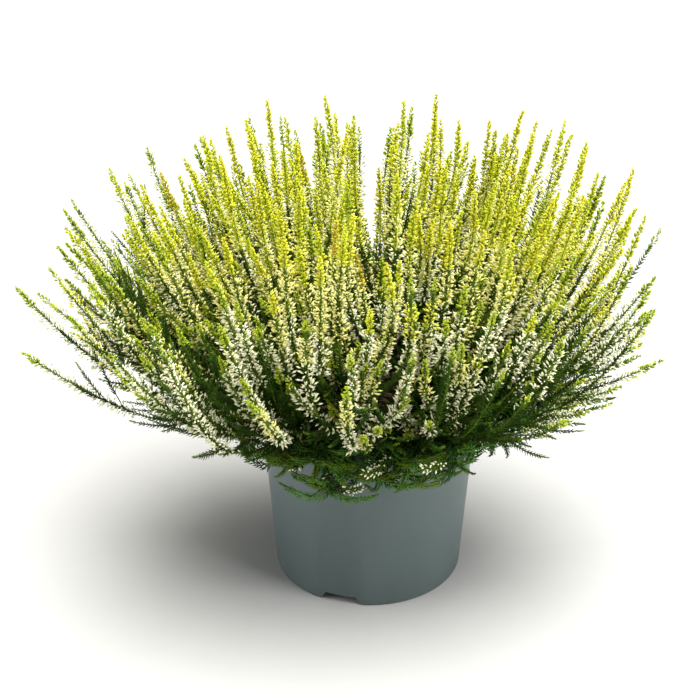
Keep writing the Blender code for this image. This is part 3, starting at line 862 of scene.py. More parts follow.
# Shoots as curves in space


class Shoot:
    """A shoot's path from its root to its tip, read by distance back from the tip."""

    step = 0.0006
    upright = 0.1

    def __init__(self, points: Array, seed: int) -> None:
        """Measure the path and set up its sideways directions."""
        self.points = points
        self.draws = np.random.default_rng(seed)
        steps = np.linalg.norm(np.diff(points, axis=0), axis=1)
        self.along = np.concatenate(([0.0], np.cumsum(steps)))
        self.length = float(self.along[-1])
        chord = points[-1] - points[0]
        self.level = np.cross(chord, (0.0, 0.0, 1.0))
        if np.linalg.norm(self.level) < self.upright * self.length:
            self.level = np.array((1.0, 0.0, 0.0))
        self.level = self.level / np.linalg.norm(self.level)

    def at(self, back: Array) -> tuple[Array, Array]:
        """Places and headings at distances back from the tip."""
        here = self.length - back
        after = self._sample(np.minimum(here + self.step, self.length))
        ahead = after - self._sample(np.maximum(here - self.step, 0.0))
        return self._sample(here), ahead / np.linalg.norm(ahead, axis=1)[:, None]

    def _sample(self, here: Array) -> Array:
        """Places at distances from the root."""
        return np.column_stack([np.interp(here, self.along, row) for row in self.points.T])

    def sideways(self, ahead: Array, turns: Array) -> Array:
        """Unit vectors square to the headings, turned about them."""
        first = self.level[None, :] - ahead * (ahead @ self.level)[:, None]
        first /= np.linalg.norm(first, axis=1)[:, None]
        second = np.cross(ahead, first)
        return first * np.cos(turns)[:, None] + second * np.sin(turns)[:, None]


class Shape:
    """The small shapes that buds, leaves and needles are copies of, one unit long along +Z."""

    near_axis = 0.1

    @staticmethod
    def _finished(bm: BMesh) -> Outline:
        """Triangulate a bmesh and return its corners and triangles."""
        bmesh.ops.triangulate(bm, faces=bm.faces)
        bmesh.ops.recalc_face_normals(bm, faces=bm.faces)
        bm.verts.index_update()
        corners = np.array([tuple(corner.co) for corner in bm.verts])
        triangles = np.array([[corner.index for corner in face.verts] for face in bm.faces])
        bm.free()
        return corners, triangles

    @classmethod
    def scale_leaf(cls) -> Outline:
        """A keeled scale leaf: three sides that run to a point, open where it is rooted."""
        bm = bmesh.new()
        bmesh.ops.create_cone(bm, cap_ends=False, segments=3, radius1=0.5, radius2=0.0,
                              depth=1.0)
        bmesh.ops.translate(bm, verts=bm.verts, vec=(0.0, 0.0, 0.5))
        return cls._finished(bm)

    @classmethod
    def spindle(cls, sides: int, middle: float, bend: float = 0.0) -> Outline:
        """A closed shape that swells from a point and runs out to a point.

        Args:
            sides: corners round it.
            middle: height of its widest place.
            bend: how far its tip leans to +X, against its width.

        Returns:
            Corners and triangles.
        """
        bm = bmesh.new()
        bmesh.ops.create_uvsphere(bm, u_segments=sides, v_segments=2, radius=1.0)
        for corner in bm.verts:
            flat = math.hypot(corner.co.x, corner.co.y)
            if flat < cls.near_axis:
                corner.co = (bend, 0.0, 1.0) if corner.co.z > 0 else (0.0, 0.0, 0.0)
            else:
                corner.co = (corner.co.x * 0.5 / flat, corner.co.y * 0.5 / flat, middle)
        return cls._finished(bm)

    @classmethod
    def crumb(cls) -> Outline:
        """A lump of peat."""
        bm = bmesh.new()
        bmesh.ops.create_icosphere(bm, subdivisions=1, radius=0.5)
        return cls._finished(bm)


class Sprays:
    """Copies of one small shape in one finish, placed by arrays and joined into few meshes."""

    def __init__(self, name: str, shape: Outline, finish: Finish, slot: str) -> None:
        """Start with no copies."""
        self.name = name
        self.corners, self.triangles = shape
        self.finish = finish
        self.slot = slot
        self.batches: list[Array] = []

    def add(self, places: Array, ahead: Array, beside: Array,
            lengths: Array, widths: Array) -> None:
        """Place copies.

        Args:
            places: where each copy's root is.
            ahead: unit vector that each copy points along.
            beside: unit vector square to it, the copy's own +X.
            lengths: how long each copy is.
            widths: how wide each copy is.
        """
        across = np.cross(ahead, beside)
        local = self.corners
        points = (places[:, None, :]
                  + local[None, :, 0, None] * (beside * widths[:, None])[:, None, :]
                  + local[None, :, 1, None] * (across * widths[:, None])[:, None, :]
                  + local[None, :, 2, None] * (ahead * lengths[:, None])[:, None, :])
        self.batches.append(points)

    def build(self, replaced: Sequence[str]) -> list[Piece]:
        """Join the copies into meshes under the triangle limit, and dress them."""
        if not self.batches:
            return []
        copies = np.concatenate(self.batches)
        most = MOST_TRIANGLES // len(self.triangles)
        parts = max(1, math.ceil(len(copies) / most))
        material = self.finish.make()
        made = []
        for index, chunk in enumerate(np.array_split(copies, parts)):
            name = self.name if parts == 1 else f"{self.name}_{index + 1}"
            mesh = self._mesh(name, chunk)
            mesh.materials.append(material)
            made.append(settle(object_of(mesh, name), replaced))
        LOG.info("%s: %d copies, %d triangles", self.name, len(copies),
                 len(copies) * len(self.triangles))
        return made

    def _mesh(self, name: str, copies: Array) -> Mesh:
        """One mesh of many copies."""
        count, corners = copies.shape[:2]
        faces = self.triangles[None, :, :] + corners * np.arange(count)[:, None, None]
        faces = faces.reshape(-1, 3)
        mesh = bpy.data.meshes.new(name)
        mesh.vertices.add(count * corners)
        mesh.vertices.foreach_set("co", copies.reshape(-1).astype(np.float32))
        mesh.loops.add(faces.size)
        mesh.loops.foreach_set("vertex_index", faces.reshape(-1).astype(np.int32))
        mesh.polygons.add(len(faces))
        mesh.polygons.foreach_set("loop_start", np.arange(0, faces.size, 3, dtype=np.int32))
        mesh.polygons.foreach_set("use_smooth", np.ones(len(faces), dtype=bool))
        mesh.update()
        mesh.validate()
        return mesh


def object_of(data: bpy.types.ID, name: str) -> Piece:
    """Put a mesh, curve, lamp or camera into the scene as an object at the origin."""
    piece = bpy.data.objects.new(name, data)
    bpy.context.scene.collection.objects.link(piece)
    return piece


def settle(piece: Piece, replaced: Sequence[str]) -> Piece:
    """Let a piece ride on the plant's body, and hide the nodes that it stands for."""
    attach(piece, BODY)
    if replaced:
        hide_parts(*replaced)
    return piece


def mesh_from(bm: BMesh, name: str) -> Mesh:
    """Turn a bmesh into a mesh."""
    mesh = bpy.data.meshes.new(name)
    bm.to_mesh(mesh)
    bm.free()
    return mesh


class Tubes:
    """Stems of one kind: each a path with a radius along it, all joined into one mesh."""

    weld = 0.000002

    def __init__(self, name: str, finish: Finish, slot: str, roundness: int = 0) -> None:
        """Start a curve that holds one open line for each stem."""
        self.name = name
        self.finish = finish
        self.slot = slot
        self.curve = bpy.data.curves.new(name, "CURVE")
        self.curve.dimensions = "3D"
        self.curve.bevel_depth = 1.0
        self.curve.bevel_resolution = roundness
        self.curve.use_fill_caps = True

    def add(self, points: Array, radii: Array) -> None:
        """Add a stem along a path."""
        line = self.curve.splines.new("POLY")
        line.points.add(len(points) - 1)
        weighted = np.column_stack((points, np.ones(len(points))))
        line.points.foreach_set("co", weighted.reshape(-1))
        line.points.foreach_set("radius", radii)

    def add_tapered(self, points: Array, radii: Span) -> None:
        """Add a stem that tapers evenly from its root to its tip."""
        self.add(points, np.linspace(*radii, len(points)))

    def mesh(self) -> Mesh:
        """The stems as one mesh, with the caps welded."""
        holder = object_of(self.curve, self.name + "_lines")
        graph = bpy.context.evaluated_depsgraph_get()
        mesh = bpy.data.meshes.new_from_object(holder.evaluated_get(graph))
        bpy.data.objects.remove(holder, do_unlink=True)
        bm = bmesh.new()
        bm.from_mesh(mesh)
        bmesh.ops.remove_doubles(bm, verts=bm.verts, dist=self.weld)
        bm.to_mesh(mesh)
        bm.free()
        mesh.name = self.name
        mesh.materials.clear()
        mesh.shade_smooth()
        return mesh

    def build(self, replaced: Sequence[str]) -> Piece:
        """Join and dress the stems."""
        mesh = self.mesh()
        mesh.materials.append(self.finish.make())
        LOG.info("%s: %d stems", self.name, len(self.curve.splines))
        return settle(object_of(mesh, self.name), replaced)


# The plant's own pieces


class Habit(Enum):
    """How a spike ends: in a long row of young buds, or in a tuft of leaves."""

    BUDDED = "budded"
    LEAFY = "leafy"


@dataclass
class Foliage:
    """Holds every kind of bud, leaf and stem, and sets them along shoots."""

    unevenness: float = 0.12
    short_wave: Span = (0.007, 0.011)
    long_wave: Span = (0.012, 0.018)
    along_scatter: float = 0.35
    leaf_scatter: float = 0.5
    bud_scatter: float = 1.9
    lean_scatter: float = 12.0
    twist: float = 0.07
    length_range: Span = (0.86, 1.12)
    width_range: Span = (0.9, 1.1)
    stalk_width: float = 0.0008
    stalk_inside: float = 0.35
    kinds: dict[Kind, Sprays] = field(default_factory=dict)

    def __post_init__(self) -> None:
        """Make an empty set of each kind."""
        outlines = {Form.OPEN_BUD: Shape.spindle(3, 0.5), Form.YOUNG_BUD: Shape.spindle(3, 0.56),
                    Form.SCALE: Shape.scale_leaf(), Form.NEEDLE: Shape.spindle(3, 0.36, 0.6)}
        for kind in Kind:
            small = kind.value
            slot = "foliage" if small.form is Form.NEEDLE else "spikes"
            self.kinds[kind] = Sprays(small.piece, outlines[small.form], small.tissue, slot)
        self.young_stems = Tubes("young_stems", YOUNG_STEM, "spikes")
        self.old_stems = Tubes("old_stems", OLD_STEM, "spikes")
        self.foot_stems = Tubes("foot_stems", OLD_STEM, "foliage")

    def set_pairs(self, kind: Kind, shoot: Shoot, start: float, stop: float, stand: Stand,
                  keep: float = 1.0) -> None:
        """Set crossed pairs of one kind along a stretch of a shoot.

        Args:
            kind: the kind of bud or leaf.
            shoot: the shoot that carries them.
            start: distance back from the tip where the stretch starts.
            stop: distance back from the tip where it ends.
            stand: the row in which they stand.
            keep: share of them that is there.
        """
        row = stand.value
        stop = min(stop, shoot.length)
        pairs = int((stop - start) / row.pitch)
        if pairs < 1:
            return
        draws = shoot.draws
        back = np.repeat(start + row.pitch * (np.arange(pairs) + 0.5), 2)
        count = len(back)
        share = (back - start) / max(stop - start, 1e-6)
        back = back + row.pitch * self.along_scatter * (draws.random(count) - 0.5)
        pair = np.repeat(np.arange(pairs), 2)
        turns = row.turn + math.pi / 2 * pair + math.pi * (np.arange(count) % 2)
        is_bud = kind.value.form in (Form.OPEN_BUD, Form.YOUNG_BUD)
        scatter = self.bud_scatter if is_bud else self.leaf_scatter
        turns = turns + self.twist * pair + scatter * (draws.random(count) - 0.5)
        places, ahead = shoot.at(np.clip(back, 0.0, shoot.length))
        out = shoot.sideways(ahead, turns)
        nod = self.lean_scatter * scatter ** 0.5 * (draws.random(count) - 0.5)
        lean = np.radians(within(row.angle, share) + nod)
        pointing = ahead * np.cos(lean)[:, None] + out * np.sin(lean)[:, None]
        upper = ahead * np.sin(lean)[:, None] - out * np.cos(lean)[:, None]
        lengths = within(row.length, share) * within(self.length_range, draws.random(count))
        widths = within(row.width, share) * within(self.width_range, draws.random(count))
        waves = draws.random(4)
        short, long = within(self.short_wave, waves[0]), within(self.long_wave, waves[2])
        uneven = np.sin(math.tau * (back / short + waves[1]) + turns)
        uneven += np.sin(math.tau * (back / long + waves[3]) - turns)
        lengths *= 1.0 + self.unevenness * uneven
        there = draws.random(count) < keep
        stalks = within(row.stalk, draws.random(count)) * (1.0 + 2.0 * self.unevenness * uneven)
        roots = (places + out * row.out)[there]
        pointing, upper, lengths = pointing[there], upper[there], lengths[there]
        stalks = stalks[there]
        ends = roots + pointing * stalks[:, None]
        self.kinds[kind].add(ends, pointing, upper, lengths, widths[there])
        if row.stalks_show:
            self.kinds[Kind.FRESH_SCALE].add(roots, pointing, upper,
                                             stalks + self.stalk_inside * lengths,
                                             np.full(len(roots), self.stalk_width))

    def build(self, masses: Sequence[str], feet: Sequence[str]) -> None:
        """Join every kind: the upper kinds for the masses, the foot kinds for the foot shoots."""
        for kind, sprays in self.kinds.items():
            sprays.build(feet if kind.value.form is Form.NEEDLE else masses)
        self.young_stems.build(masses)
        self.old_stems.build(masses)
        self.foot_stems.build(feet)


@dataclass
class FlowerSpikes:
    """Dresses the planned spikes with stems, leaves, buds and tips."""

    growth: Growth
    plan: CrownPlan
    foliage: Foliage
    samples: int = 26
    young_stem_radius: float = 0.00045
    old_stem_radius: float = 0.00085
    upright: float = 87.0
    most_upturn: float = 20.0
    upturn_climb: Span = (-8.0, 22.0)
    side_upturn_climb: float = 22.0
    least_upturn_share: float = 0.35
    full_upturn_length: float = 0.13
    sway: float = 0.017
    finer_tilt: float = 0.04
    tilt_power: float = 1.6
    tip_zone: float = 0.007
    tip_share: float = 0.08
    young_zone: float = 0.027
    young_share: float = 0.3
    flower_zone: float = 0.06
    flower_share: float = 0.78
    fresh_zone: float = 0.012
    fresh_share: float = 0.9
    green_zone: float = 0.022
    outer_loss: float = 0.45
    low_tip: float = 0.18
    tip_range: float = 0.09
    # Stalk leaves nearer the crown's axis than this are painted near-black as the crown's inner
    # shade.
    painted_shade_radius: float = 0.08
    lime_from: float = 0.85
    cream_share: float = 0.8
    yellow_share: float = 0.45
    yellow_loss: float = 0.1
    white_below: float = 0.4
    white_draw: float = 0.45
    rust_share: float = 0.055
    rust_elsewhere: float = 0.15
    rust_right: float = 0.02
    rust_from: float = 0.45
    spring_share: Span = (0.95, -0.15)
    gold_share: float = 0.42
    leafy_share: Span = (0.216, 0.036)
    side_leafy_share: float = 0.22
    side_loss: float = 0.12
    side_reach: float = 0.13
    leafy_side: float = 0.3
    left_reach: float = 0.15
    left_flowers: float = 0.5
    left_bud_loss: float = 0.35
    left_from: float = 0.25
    short_left: float = 0.15
    bare_share: float = 0.6
    buds_kept: float = 0.86
    side_bud_loss: float = 0.15
    side_flower_loss: float = 0.4
    newer_part: Span = (0.34, 0.54)

    def shoot_of(self, spike: Spike) -> Shoot:
        """The path of a spike: the growth rule's, turned up at its tip and swaying a little."""
        share = np.linspace(0.0, 1.0, self.samples)
        reaches = within((spike.leave, spike.tip), share)
        outs = self.growth.path(spike.mass.axis, spike.aim, reaches, spike.leave, self.plan.bend)
        points = self.growth.grown(outs)
        chord = points[-1] - points[0]
        length = float(np.linalg.norm(chord))
        flat = max(float(np.hypot(chord[0], chord[1])), SMALL)
        low, high = self.upturn_climb
        sideways = (chord[0] / flat) ** 2
        climb = math.degrees(math.asin(chord[2] / length)) - self.side_upturn_climb * sideways
        last = points[-1] - points[-3]
        tip_climb = math.degrees(math.asin(last[2] / float(np.linalg.norm(last))))
        turn = held(self.upright - tip_climb, 0.0, self.most_upturn)
        turn *= held((climb - low) / (high - low), self.least_upturn_share * (1.0 - sideways))
        turn *= min(length / self.full_upturn_length, 1.0)
        bow = length * math.tan(math.radians(turn)) * (1 - share) * (1 - (1 - share) ** 3)
        under = np.array((chord[0] * chord[2], chord[1] * chord[2], -flat ** 2)) / flat / length
        points = points + bow[:, None] * under
        draws = np.random.default_rng(spike.seed + Seed.SWAY)
        level = np.array((-chord[1], chord[0], 0.0)) / flat
        moves = [np.sin(math.pi * waves * share) * length * self.sway * size
                 for waves, size in ((1.0, 1.0), (2.0, 0.5))]
        if spike.finer:
            moves.append(self.finer_tilt * length * share ** self.tilt_power)
        for move in moves:
            aside = draws.normal() * level + 0.5 * draws.normal() * under
            points = points + move[:, None] * aside
        return Shoot(points, spike.seed)

    def kinds_of(self, shoot: Shoot, high: float) -> tuple[Kind, Kind, Kind, Habit]:
        """Kinds of a spike's old buds, newer buds and young tip, and how it ends.

        Args:
            shoot: the spike's path.
            high: how high its tip is in the crown, from 0 to 1.

        Returns:
            Old buds, newer buds, young buds, and the habit.
        """
        draw = shoot.draws.random(4)
        old = Kind.WHITE_BUD if draw[0] > self.cream_share * high else Kind.CREAM_BUD
        creamy = draw[1] > self.yellow_share * high - self.yellow_loss
        newer = Kind.CREAM_BUD if creamy else Kind.YELLOW_BUD
        if high < self.white_below and draw[1] > self.white_draw:
            newer = Kind.WHITE_BUD
        upper_left = shoot.points[-1][0] < self.rust_right and high > self.rust_from
        if draw[2] < self.rust_share * (1.0 if upper_left else self.rust_elsewhere):
            young = Kind.RUST_BUD
        elif draw[2] < self.rust_share + within(self.spring_share, high):
            young = Kind.SPRING_BUD
        else:
            young = Kind.GOLD_BUD if draw[2] > 1.0 - self.gold_share * high else Kind.LIME_BUD
        aside = self.side_leafy_share * self.low_side(shoot, high)
        leafy = draw[3] < within(self.leafy_share, high) + aside
        return old, newer, young, Habit.LEAFY if leafy else Habit.BUDDED

    def low_side(self, shoot: Shoot, high: float) -> float:
        """How much a spike is one of the dark low ones at the sides, from 0 to 1."""
        across = shoot.points[-1][0]
        aside = min(max(across, -self.side_loss * across) / self.side_reach, 1.0)
        return max(0.0, 1.0 - 2.0 * high) * aside

    def dress(self, shoot: Shoot) -> None:
        """Set everything along one spike."""
        tip = shoot.points[-1]
        length = shoot.length
        high = held((tip[2] - self.outer_loss * abs(tip[1]) - self.low_tip) / self.tip_range)
        low_side = self.low_side(shoot, high)
        low_left = (1.0 - high) * held(-tip[0] / self.left_reach)
        old, newer, young, habit = self.kinds_of(shoot, high)
        tip_end = min(self.tip_zone * within((0.6, 1.0), high), self.tip_share * length)
        young_length = self.young_zone * within((0.75, 1.25), shoot.draws.random())
        young_end = young_length * within((0.35, 1.0), high) + tip_end
        young_end = min(young_end, self.young_share * length)
        flower_length = self.flower_zone * within((0.8, 1.2), shoot.draws.random())
        flower_length *= 1.0 - self.side_flower_loss * low_side
        flower_length *= 1.0 + self.left_flowers * low_left
        flower_end = min(young_end + flower_length, self.flower_share * length)
        fresh_end = min(flower_end + self.fresh_zone, self.fresh_share * length)
        self._tip(shoot, tip_end, young_end, young, habit)
        foliage = self.foliage
        inner_left = low_left > self.left_from and length < self.short_left
        if (inner_left and shoot.draws.random() < self.bare_share
                or habit is Habit.LEAFY and low_side > self.leafy_side):
            foliage.set_pairs(Kind.GREEN_SCALE, shoot, young_end, flower_end, Stand.NO_BUDS)
        else:
            keep = self.buds_kept - self.side_bud_loss * low_side
            keep -= self.left_bud_loss * low_left if inner_left else 0.0
            # The highest spikes' leaves among the newer buds are pale lime: partly young growth,
            # partly painted top light.
            among = Kind.LIME_SCALE if high > self.lime_from else Kind.FRESH_SCALE
            self._flowers(shoot, (young_end, flower_end), old, newer, keep, among)
        # Low spikes at the sides get darker leaves under their buds: partly their own darker
        # foliage, partly painted shade low in the crown.
        under = Kind.FRESH_SCALE if low_side < self.leafy_side else Kind.GREEN_SCALE
        foliage.set_pairs(under, shoot, flower_end, fresh_end, Stand.UNDER_BUDS)
        # The stalk's leaves inside the crown, near its axis, are painted near-black as the shade
        # there.
        from_axis = np.hypot(shoot.points[:, 0], shoot.points[:, 1])
        seen_end = length - float(np.interp(self.painted_shade_radius, from_axis, shoot.along))
        green_end = min(max(fresh_end + self.green_zone, seen_end), length)
        stalk = Stand.LIT_STALK if seen_end > fresh_end else Stand.DIM_STALK
        foliage.set_pairs(Kind.GREEN_SCALE, shoot, fresh_end, green_end, stalk)
        foliage.set_pairs(Kind.PAINTED_SHADE_SCALE, shoot, green_end, length, Stand.DARK_STALK)
        self._stems(shoot, flower_end)

    def _tip(self, shoot: Shoot, tip_end: float, young_end: float, young: Kind,
             habit: Habit) -> None:
        """A knobbly tip, then young buds or leaves that open as they go down."""
        pairs = self.foliage.set_pairs
        green = young is Kind.SPRING_BUD
        if habit is Habit.LEAFY:
            middle = 0.6 * young_end
            pairs(Kind.SPRING_BUD, shoot, 0.0, tip_end, Stand.LEAFY_KNOB)
            pairs(Kind.SPRING_BUD, shoot, tip_end, middle, Stand.LEAFY_YOUNG)
            pairs(Kind.FRESH_SCALE if green else Kind.LIME_SCALE, shoot, middle, young_end,
                  Stand.LEAFY_LOWER)
            return
        pairs(young, shoot, 0.0, tip_end, Stand.KNOB)
        pairs(young, shoot, tip_end, young_end, Stand.YOUNG_BUDS)
        pairs(Kind.FRESH_SCALE if green else Kind.LIME_SCALE, shoot, tip_end, young_end,
              Stand.AMONG_YOUNG)

    def _flowers(self, shoot: Shoot, stretch: Span, old: Kind, newer: Kind, keep: float,
                 among: Kind) -> None:
        """Rows of buds on short green stalks, with leaves between; those among open buds are
        painted shade.
        """
        pairs = self.foliage.set_pairs
        start, stop = stretch
        middle = within(stretch, within(self.newer_part, shoot.draws.random()))
        pairs(newer, shoot, start, middle, Stand.NEWER_BUDS, keep)
        pairs(among, shoot, start, middle, Stand.AMONG_NEWER)
        pairs(old, shoot, middle, stop, Stand.OPEN_BUDS, keep)
        # The leaves among the open buds are near-black: painted shade in the gaps.
        pairs(Kind.PAINTED_SHADE_SCALE, shoot, middle, stop, Stand.AMONG_OPEN)

    def _stems(self, shoot: Shoot, flower_end: float) -> None:
        """The green stem of the flowering length and the brown one below it."""
        root = int(np.searchsorted(shoot.along, shoot.length - flower_end - self.fresh_zone))
        root = 2 * held(root // 2, 1, len(shoot.points) // 2 - 2)
        radii = within((self.old_stem_radius, self.young_stem_radius * 0.5),
                       shoot.along / shoot.length)
        self.foliage.old_stems.add(shoot.points[:root + 1:2], radii[:root + 1:2])
        self.foliage.young_stems.add(shoot.points[root::2], radii[root::2])

    def grow(self) -> list[tuple[Mass, Shoot]]:
        """Plan and dress every spike.

        Returns:
            Each spike's mass and path, which side shoots can leave.
        """
        shoots = []
        for mass in self.plan.masses():
            solid = self.plan.solid_spikes(mass)
            finer = self.plan.extra(mass, solid)
            for spike in solid + finer:
                shoot = self.shoot_of(spike)
                self.dress(shoot)
                shoots.append((mass, shoot))
            LOG.info("spikes_%s: %d solid and %d finer spikes", mass.name, len(solid), len(finer))
        return shoots


@dataclass
class Undergrowth:
    """Leafy side shoots low in the crown, which leave the boughs and the spikes' stalks."""

    growth: Growth
    foliage: Foliage
    on_boughs: int = 7
    left_from: float = 0.09
    left_highest: float = 0.72
    more_on_left: int = 4
    lengths: Span = (0.022, 0.044)
    angles: Span = (26.0, 52.0)
    upturn: float = 0.28
    tip: float = 0.007
    bough_reaches: Span = (0.016, 0.058)
    above_lip: float = -0.002
    # Side shoots that end within this radius and below this height are painted darker as shade.
    shaded_radius: float = 0.09
    shaded_height: float = 0.2
    stem_radii: Span = (0.0005, 0.0002)
    seed: int = 77

    def grow(self, masses: Sequence[Mass], shoots: Sequence[tuple[Mass, Shoot]]) -> None:
        """Set the side shoots on boughs and stalks.

        Args:
            masses: the masses whose boughs carry some.
            shoots: the spikes whose stalks carry the rest.
        """
        chance = np.random.default_rng(self.seed)
        number = 0
        for mass in masses:
            reaches = np.linspace(*self.bough_reaches, 12)
            path = self.growth.grown(reaches[:, None] * np.array(mass.axis))
            bough = Shoot(path, mass.seed)
            for _ in range(self.on_boughs):
                number += 1
                self._leave(bough, bough.length * chance.random(), chance, number)
        for mass, shoot in shoots:
            ring = mass.ring
            low_left = ring.name == "low" and shoot.points[-1][0] < -self.left_from
            highest = self.left_highest if low_left else ring.side_shoot_share
            for _ in range(ring.side_shoots + (self.more_on_left if low_left else 0)):
                number += 1
                self._leave(shoot, shoot.length * highest * chance.random(), chance, number)

    def _leave(self, parent: Shoot, along: float, chance: np.random.Generator,
               number: int) -> None:
        """One side shoot that leaves its parent at an angle and turns up."""
        roots, aheads = parent.at(np.array([parent.length - along]))
        outs = parent.sideways(aheads, np.array([math.tau * chance.random()]))
        length = within(self.lengths, chance.random())
        angle = math.radians(within(self.angles, chance.random()))
        heading = aheads[0] * math.cos(angle) + outs[0] * math.sin(angle)
        share = np.linspace(0.0, 1.0, 8)[:, None]
        upturn = np.array((0.0, 0.0, self.upturn * length))
        points = roots[0] + heading * length * share + upturn * share ** 2
        if points[:, 2].min() < self.growth.crown_height + self.above_lip:
            return
        shoot = Shoot(points, Seed.SIDE_SHOOT + number)
        end = points[-1]
        # Side shoots that end inside the crown get darker tips and leaves: painted shade.
        inner = math.hypot(end[0], end[1]) < self.shaded_radius and end[2] < self.shaded_height
        self.foliage.set_pairs(Kind.GREEN_SCALE if inner else Kind.FRESH_SCALE, shoot, 0.0,
                               self.tip, Stand.SIDE_TIP)
        self.foliage.set_pairs(Kind.PAINTED_SHADE_SCALE if inner else Kind.GREEN_SCALE, shoot, self.tip,
                               length, Stand.SIDE_LEAVES)
        self.foliage.old_stems.add_tapered(points[::3], self.stem_radii)


@dataclass
class FootShoots:
    """Dark needle shoots that come over the pot's lip and hang outside it, finer ones between."""

    foliage: Foliage
    masses: int = 8
    seed: int = 100
    start_height: float = 0.1228
    start_radius: float = 0.0103
    over_lip_height: float = 0.1273
    over_lip_radius: float = 0.076
    fork_radius: float = 0.0785
    sag: float = 25.0
    stem_radii: Span = (0.0012, 0.0009)
    stem_needles: float = 0.05
    reach: float = 0.1
    side_reach: float = 0.01
    reach_spread: float = 0.006
    drop: float = 0.015
    side_lift: float = 0.009
    drop_spread: float = 0.22
    shoots: int = 3
    fan: float = 30.0
    fan_spread: float = 1.5
    finer_shoots: int = 12
    finer_fan: float = 27.0
    finer_loss: float = 0.016
    finer_drop: Span = (0.0, 1.1)
    finer_curl: Span = (0.3, 1.0)
    lying_shoots: int = 300
    lying_turn: Span = (8.0, 36.0)
    lying_inner: Span = (0.034, 0.07)
    lying_reach: Span = (0.078, 0.098)
    lying_rise: Span = (0.006, 0.014)
    lying_droop: Span = (0.006, 0.034)
    lip_width: float = 0.009
    side_droop_loss: float = 0.7
    right_reach: float = 0.04
    right_rise: float = 0.03
    shaded_from: float = 0.06
    blossom_finer: int = 4
    blossom_every: int = 11
    tip: float = 0.005
    fresh: Span = (0.012, 0.026)
    bright_from: float = 0.021
    pale_below: float = 0.019
    buds: Span = (0.003, 0.02)
    shoot_radii: Span = (0.0006, 0.00025)
    combs: int = 22
    comb_azimuths: Span = (-44.0, 22.0)
    comb_turn: Span = (-12.0, 12.0)
    comb_curl: Span = (0.0, 0.016)
    comb_inner: float = 0.045
    comb_reach: float = 0.171
    comb_spread: float = 0.022
    comb_front_loss: float = 0.0009
    comb_lift: float = 0.004
    comb_rise: float = 0.011
    comb_tip: float = 0.006
    comb_young: float = 0.03
    comb_buds: float = 0.026
    comb_blossom: float = 0.4
    comb_radii: Span = (0.0008, 0.0004)

    def names(self) -> list[str]:
        """The solids that these shoots stand for."""
        return [f"foot_shoots_{index + 1}" for index in range(self.masses)]

    def stem_point(self, azimuth: float, radius: float) -> Array:
        """A point of a foot stem: rising gently to the pot's lip, then arching down."""
        over = self.over_lip_radius - self.start_radius
        slope = (self.over_lip_height - self.start_height) / over
        height = self.start_height + slope * (radius - self.start_radius)
        beyond = max(0.0, radius - self.over_lip_radius)
        flat = direction(azimuth, 0.0)
        return np.array((radius * flat.x, radius * flat.y, height - self.sag * beyond ** 2))

    def hanging(self, azimuth: float, turn: float, reach: float, drop: float, seed: int,
                curl: float = 0.0) -> Shoot:
        """The path of a shoot that leaves its foot stem outside the lip and hangs by the pot.

        Args:
            azimuth: direction of the foot stem.
            turn: how far round the shoot goes from it.
            reach: radius where it ends.
            drop: how far it sinks.
            seed: seed of what it carries.
            curl: how much of its drop comes early, so that its end rises again.

        Returns:
            The shoot.
        """
        start = self.stem_point(azimuth, self.fork_radius)
        points = [start]
        for share in np.linspace(0.0, 1.0, 14)[1:]:
            flat = direction(azimuth + turn * math.sqrt(share), 0.0)
            out = within((self.fork_radius, reach), math.sin(math.pi / 2 * share))
            early = math.sin(0.8 * math.pi * share)
            sunk = (1 - curl) * share * share * (3 - 2 * share) + curl * early
            points.append(np.array((out * flat.x, out * flat.y, start[2] - drop * sunk)))
        return Shoot(np.array(points), seed)

    def lying(self, azimuth: float, turn: float, inner: float, reach: float, rise: float,
              droop: float, seed: int) -> Shoot:
        """The path of a shoot that comes over the peat, bends along the lip and curls up.

        Args:
            azimuth: where it starts.
            turn: how far round it goes.
            inner: radius where it starts.
            reach: radius where it ends.
            rise: how far it rises before the lip.
            droop: how far it sinks outside the lip.
            seed: seed of what it carries.

        Returns:
            The shoot.
        """
        points = []
        for share in np.linspace(0.0, 1.0, 13):
            flat = direction(azimuth + turn * share ** 1.5, 0.0)
            radius = within((inner, reach), math.sin(math.pi / 2 * share))
            outside = held((radius - self.over_lip_radius) / self.lip_width)
            sink = droop * math.sin(math.pi * 0.72 * share) * outside
            risen = rise * math.sin(math.pi / 2 * min(2.0 * share, 1.0))
            points.append((radius * flat.x, radius * flat.y, self.start_height + risen - sink))
        return Shoot(np.array(points), seed)

    def comb(self, azimuth: float, turn: float, curl: float, seed: int) -> None:
        """A dark side shoot low on the right, its needles set apart like a comb's teeth.

        Args:
            azimuth: where it starts.
            turn: how far round it goes.
            curl: how far its end turns up.
            seed: seed of what it carries.
        """
        draws = np.random.default_rng(seed)
        share = np.linspace(0.0, 1.0, 16)
        reach = self.comb_reach - self.comb_front_loss * abs(azimuth)
        reach -= self.comb_spread * draws.random()
        turns = np.radians(azimuth + turn * share ** 1.5)
        radius = within((self.comb_inner, reach), share)
        rise = self.comb_rise * draws.random() * np.sin(math.pi / 2 * share)
        height = self.start_height + self.comb_lift + rise + curl * share ** 5
        points = np.stack([radius * np.cos(turns), radius * np.sin(turns), height], axis=1)
        shoot = Shoot(points, seed)
        pairs = self.foliage.set_pairs
        pairs(Kind.FRESH_SCALE, shoot, 0.0, self.comb_tip, Stand.COMB_TIP)
        pairs(Kind.LIP_NEEDLE, shoot, self.comb_tip, self.comb_young, Stand.COMB_YOUNG)
        pairs(Kind.SHADE_NEEDLE, shoot, self.comb_young, shoot.length - self.comb_young,
              Stand.COMB_TEETH)
        if draws.random() < self.comb_blossom:
            pairs(Kind.CREAM_BUD, shoot, self.comb_tip, self.comb_buds, Stand.COMB_BUDS)
        self.foliage.foot_stems.add_tapered(points[::3], self.comb_radii)

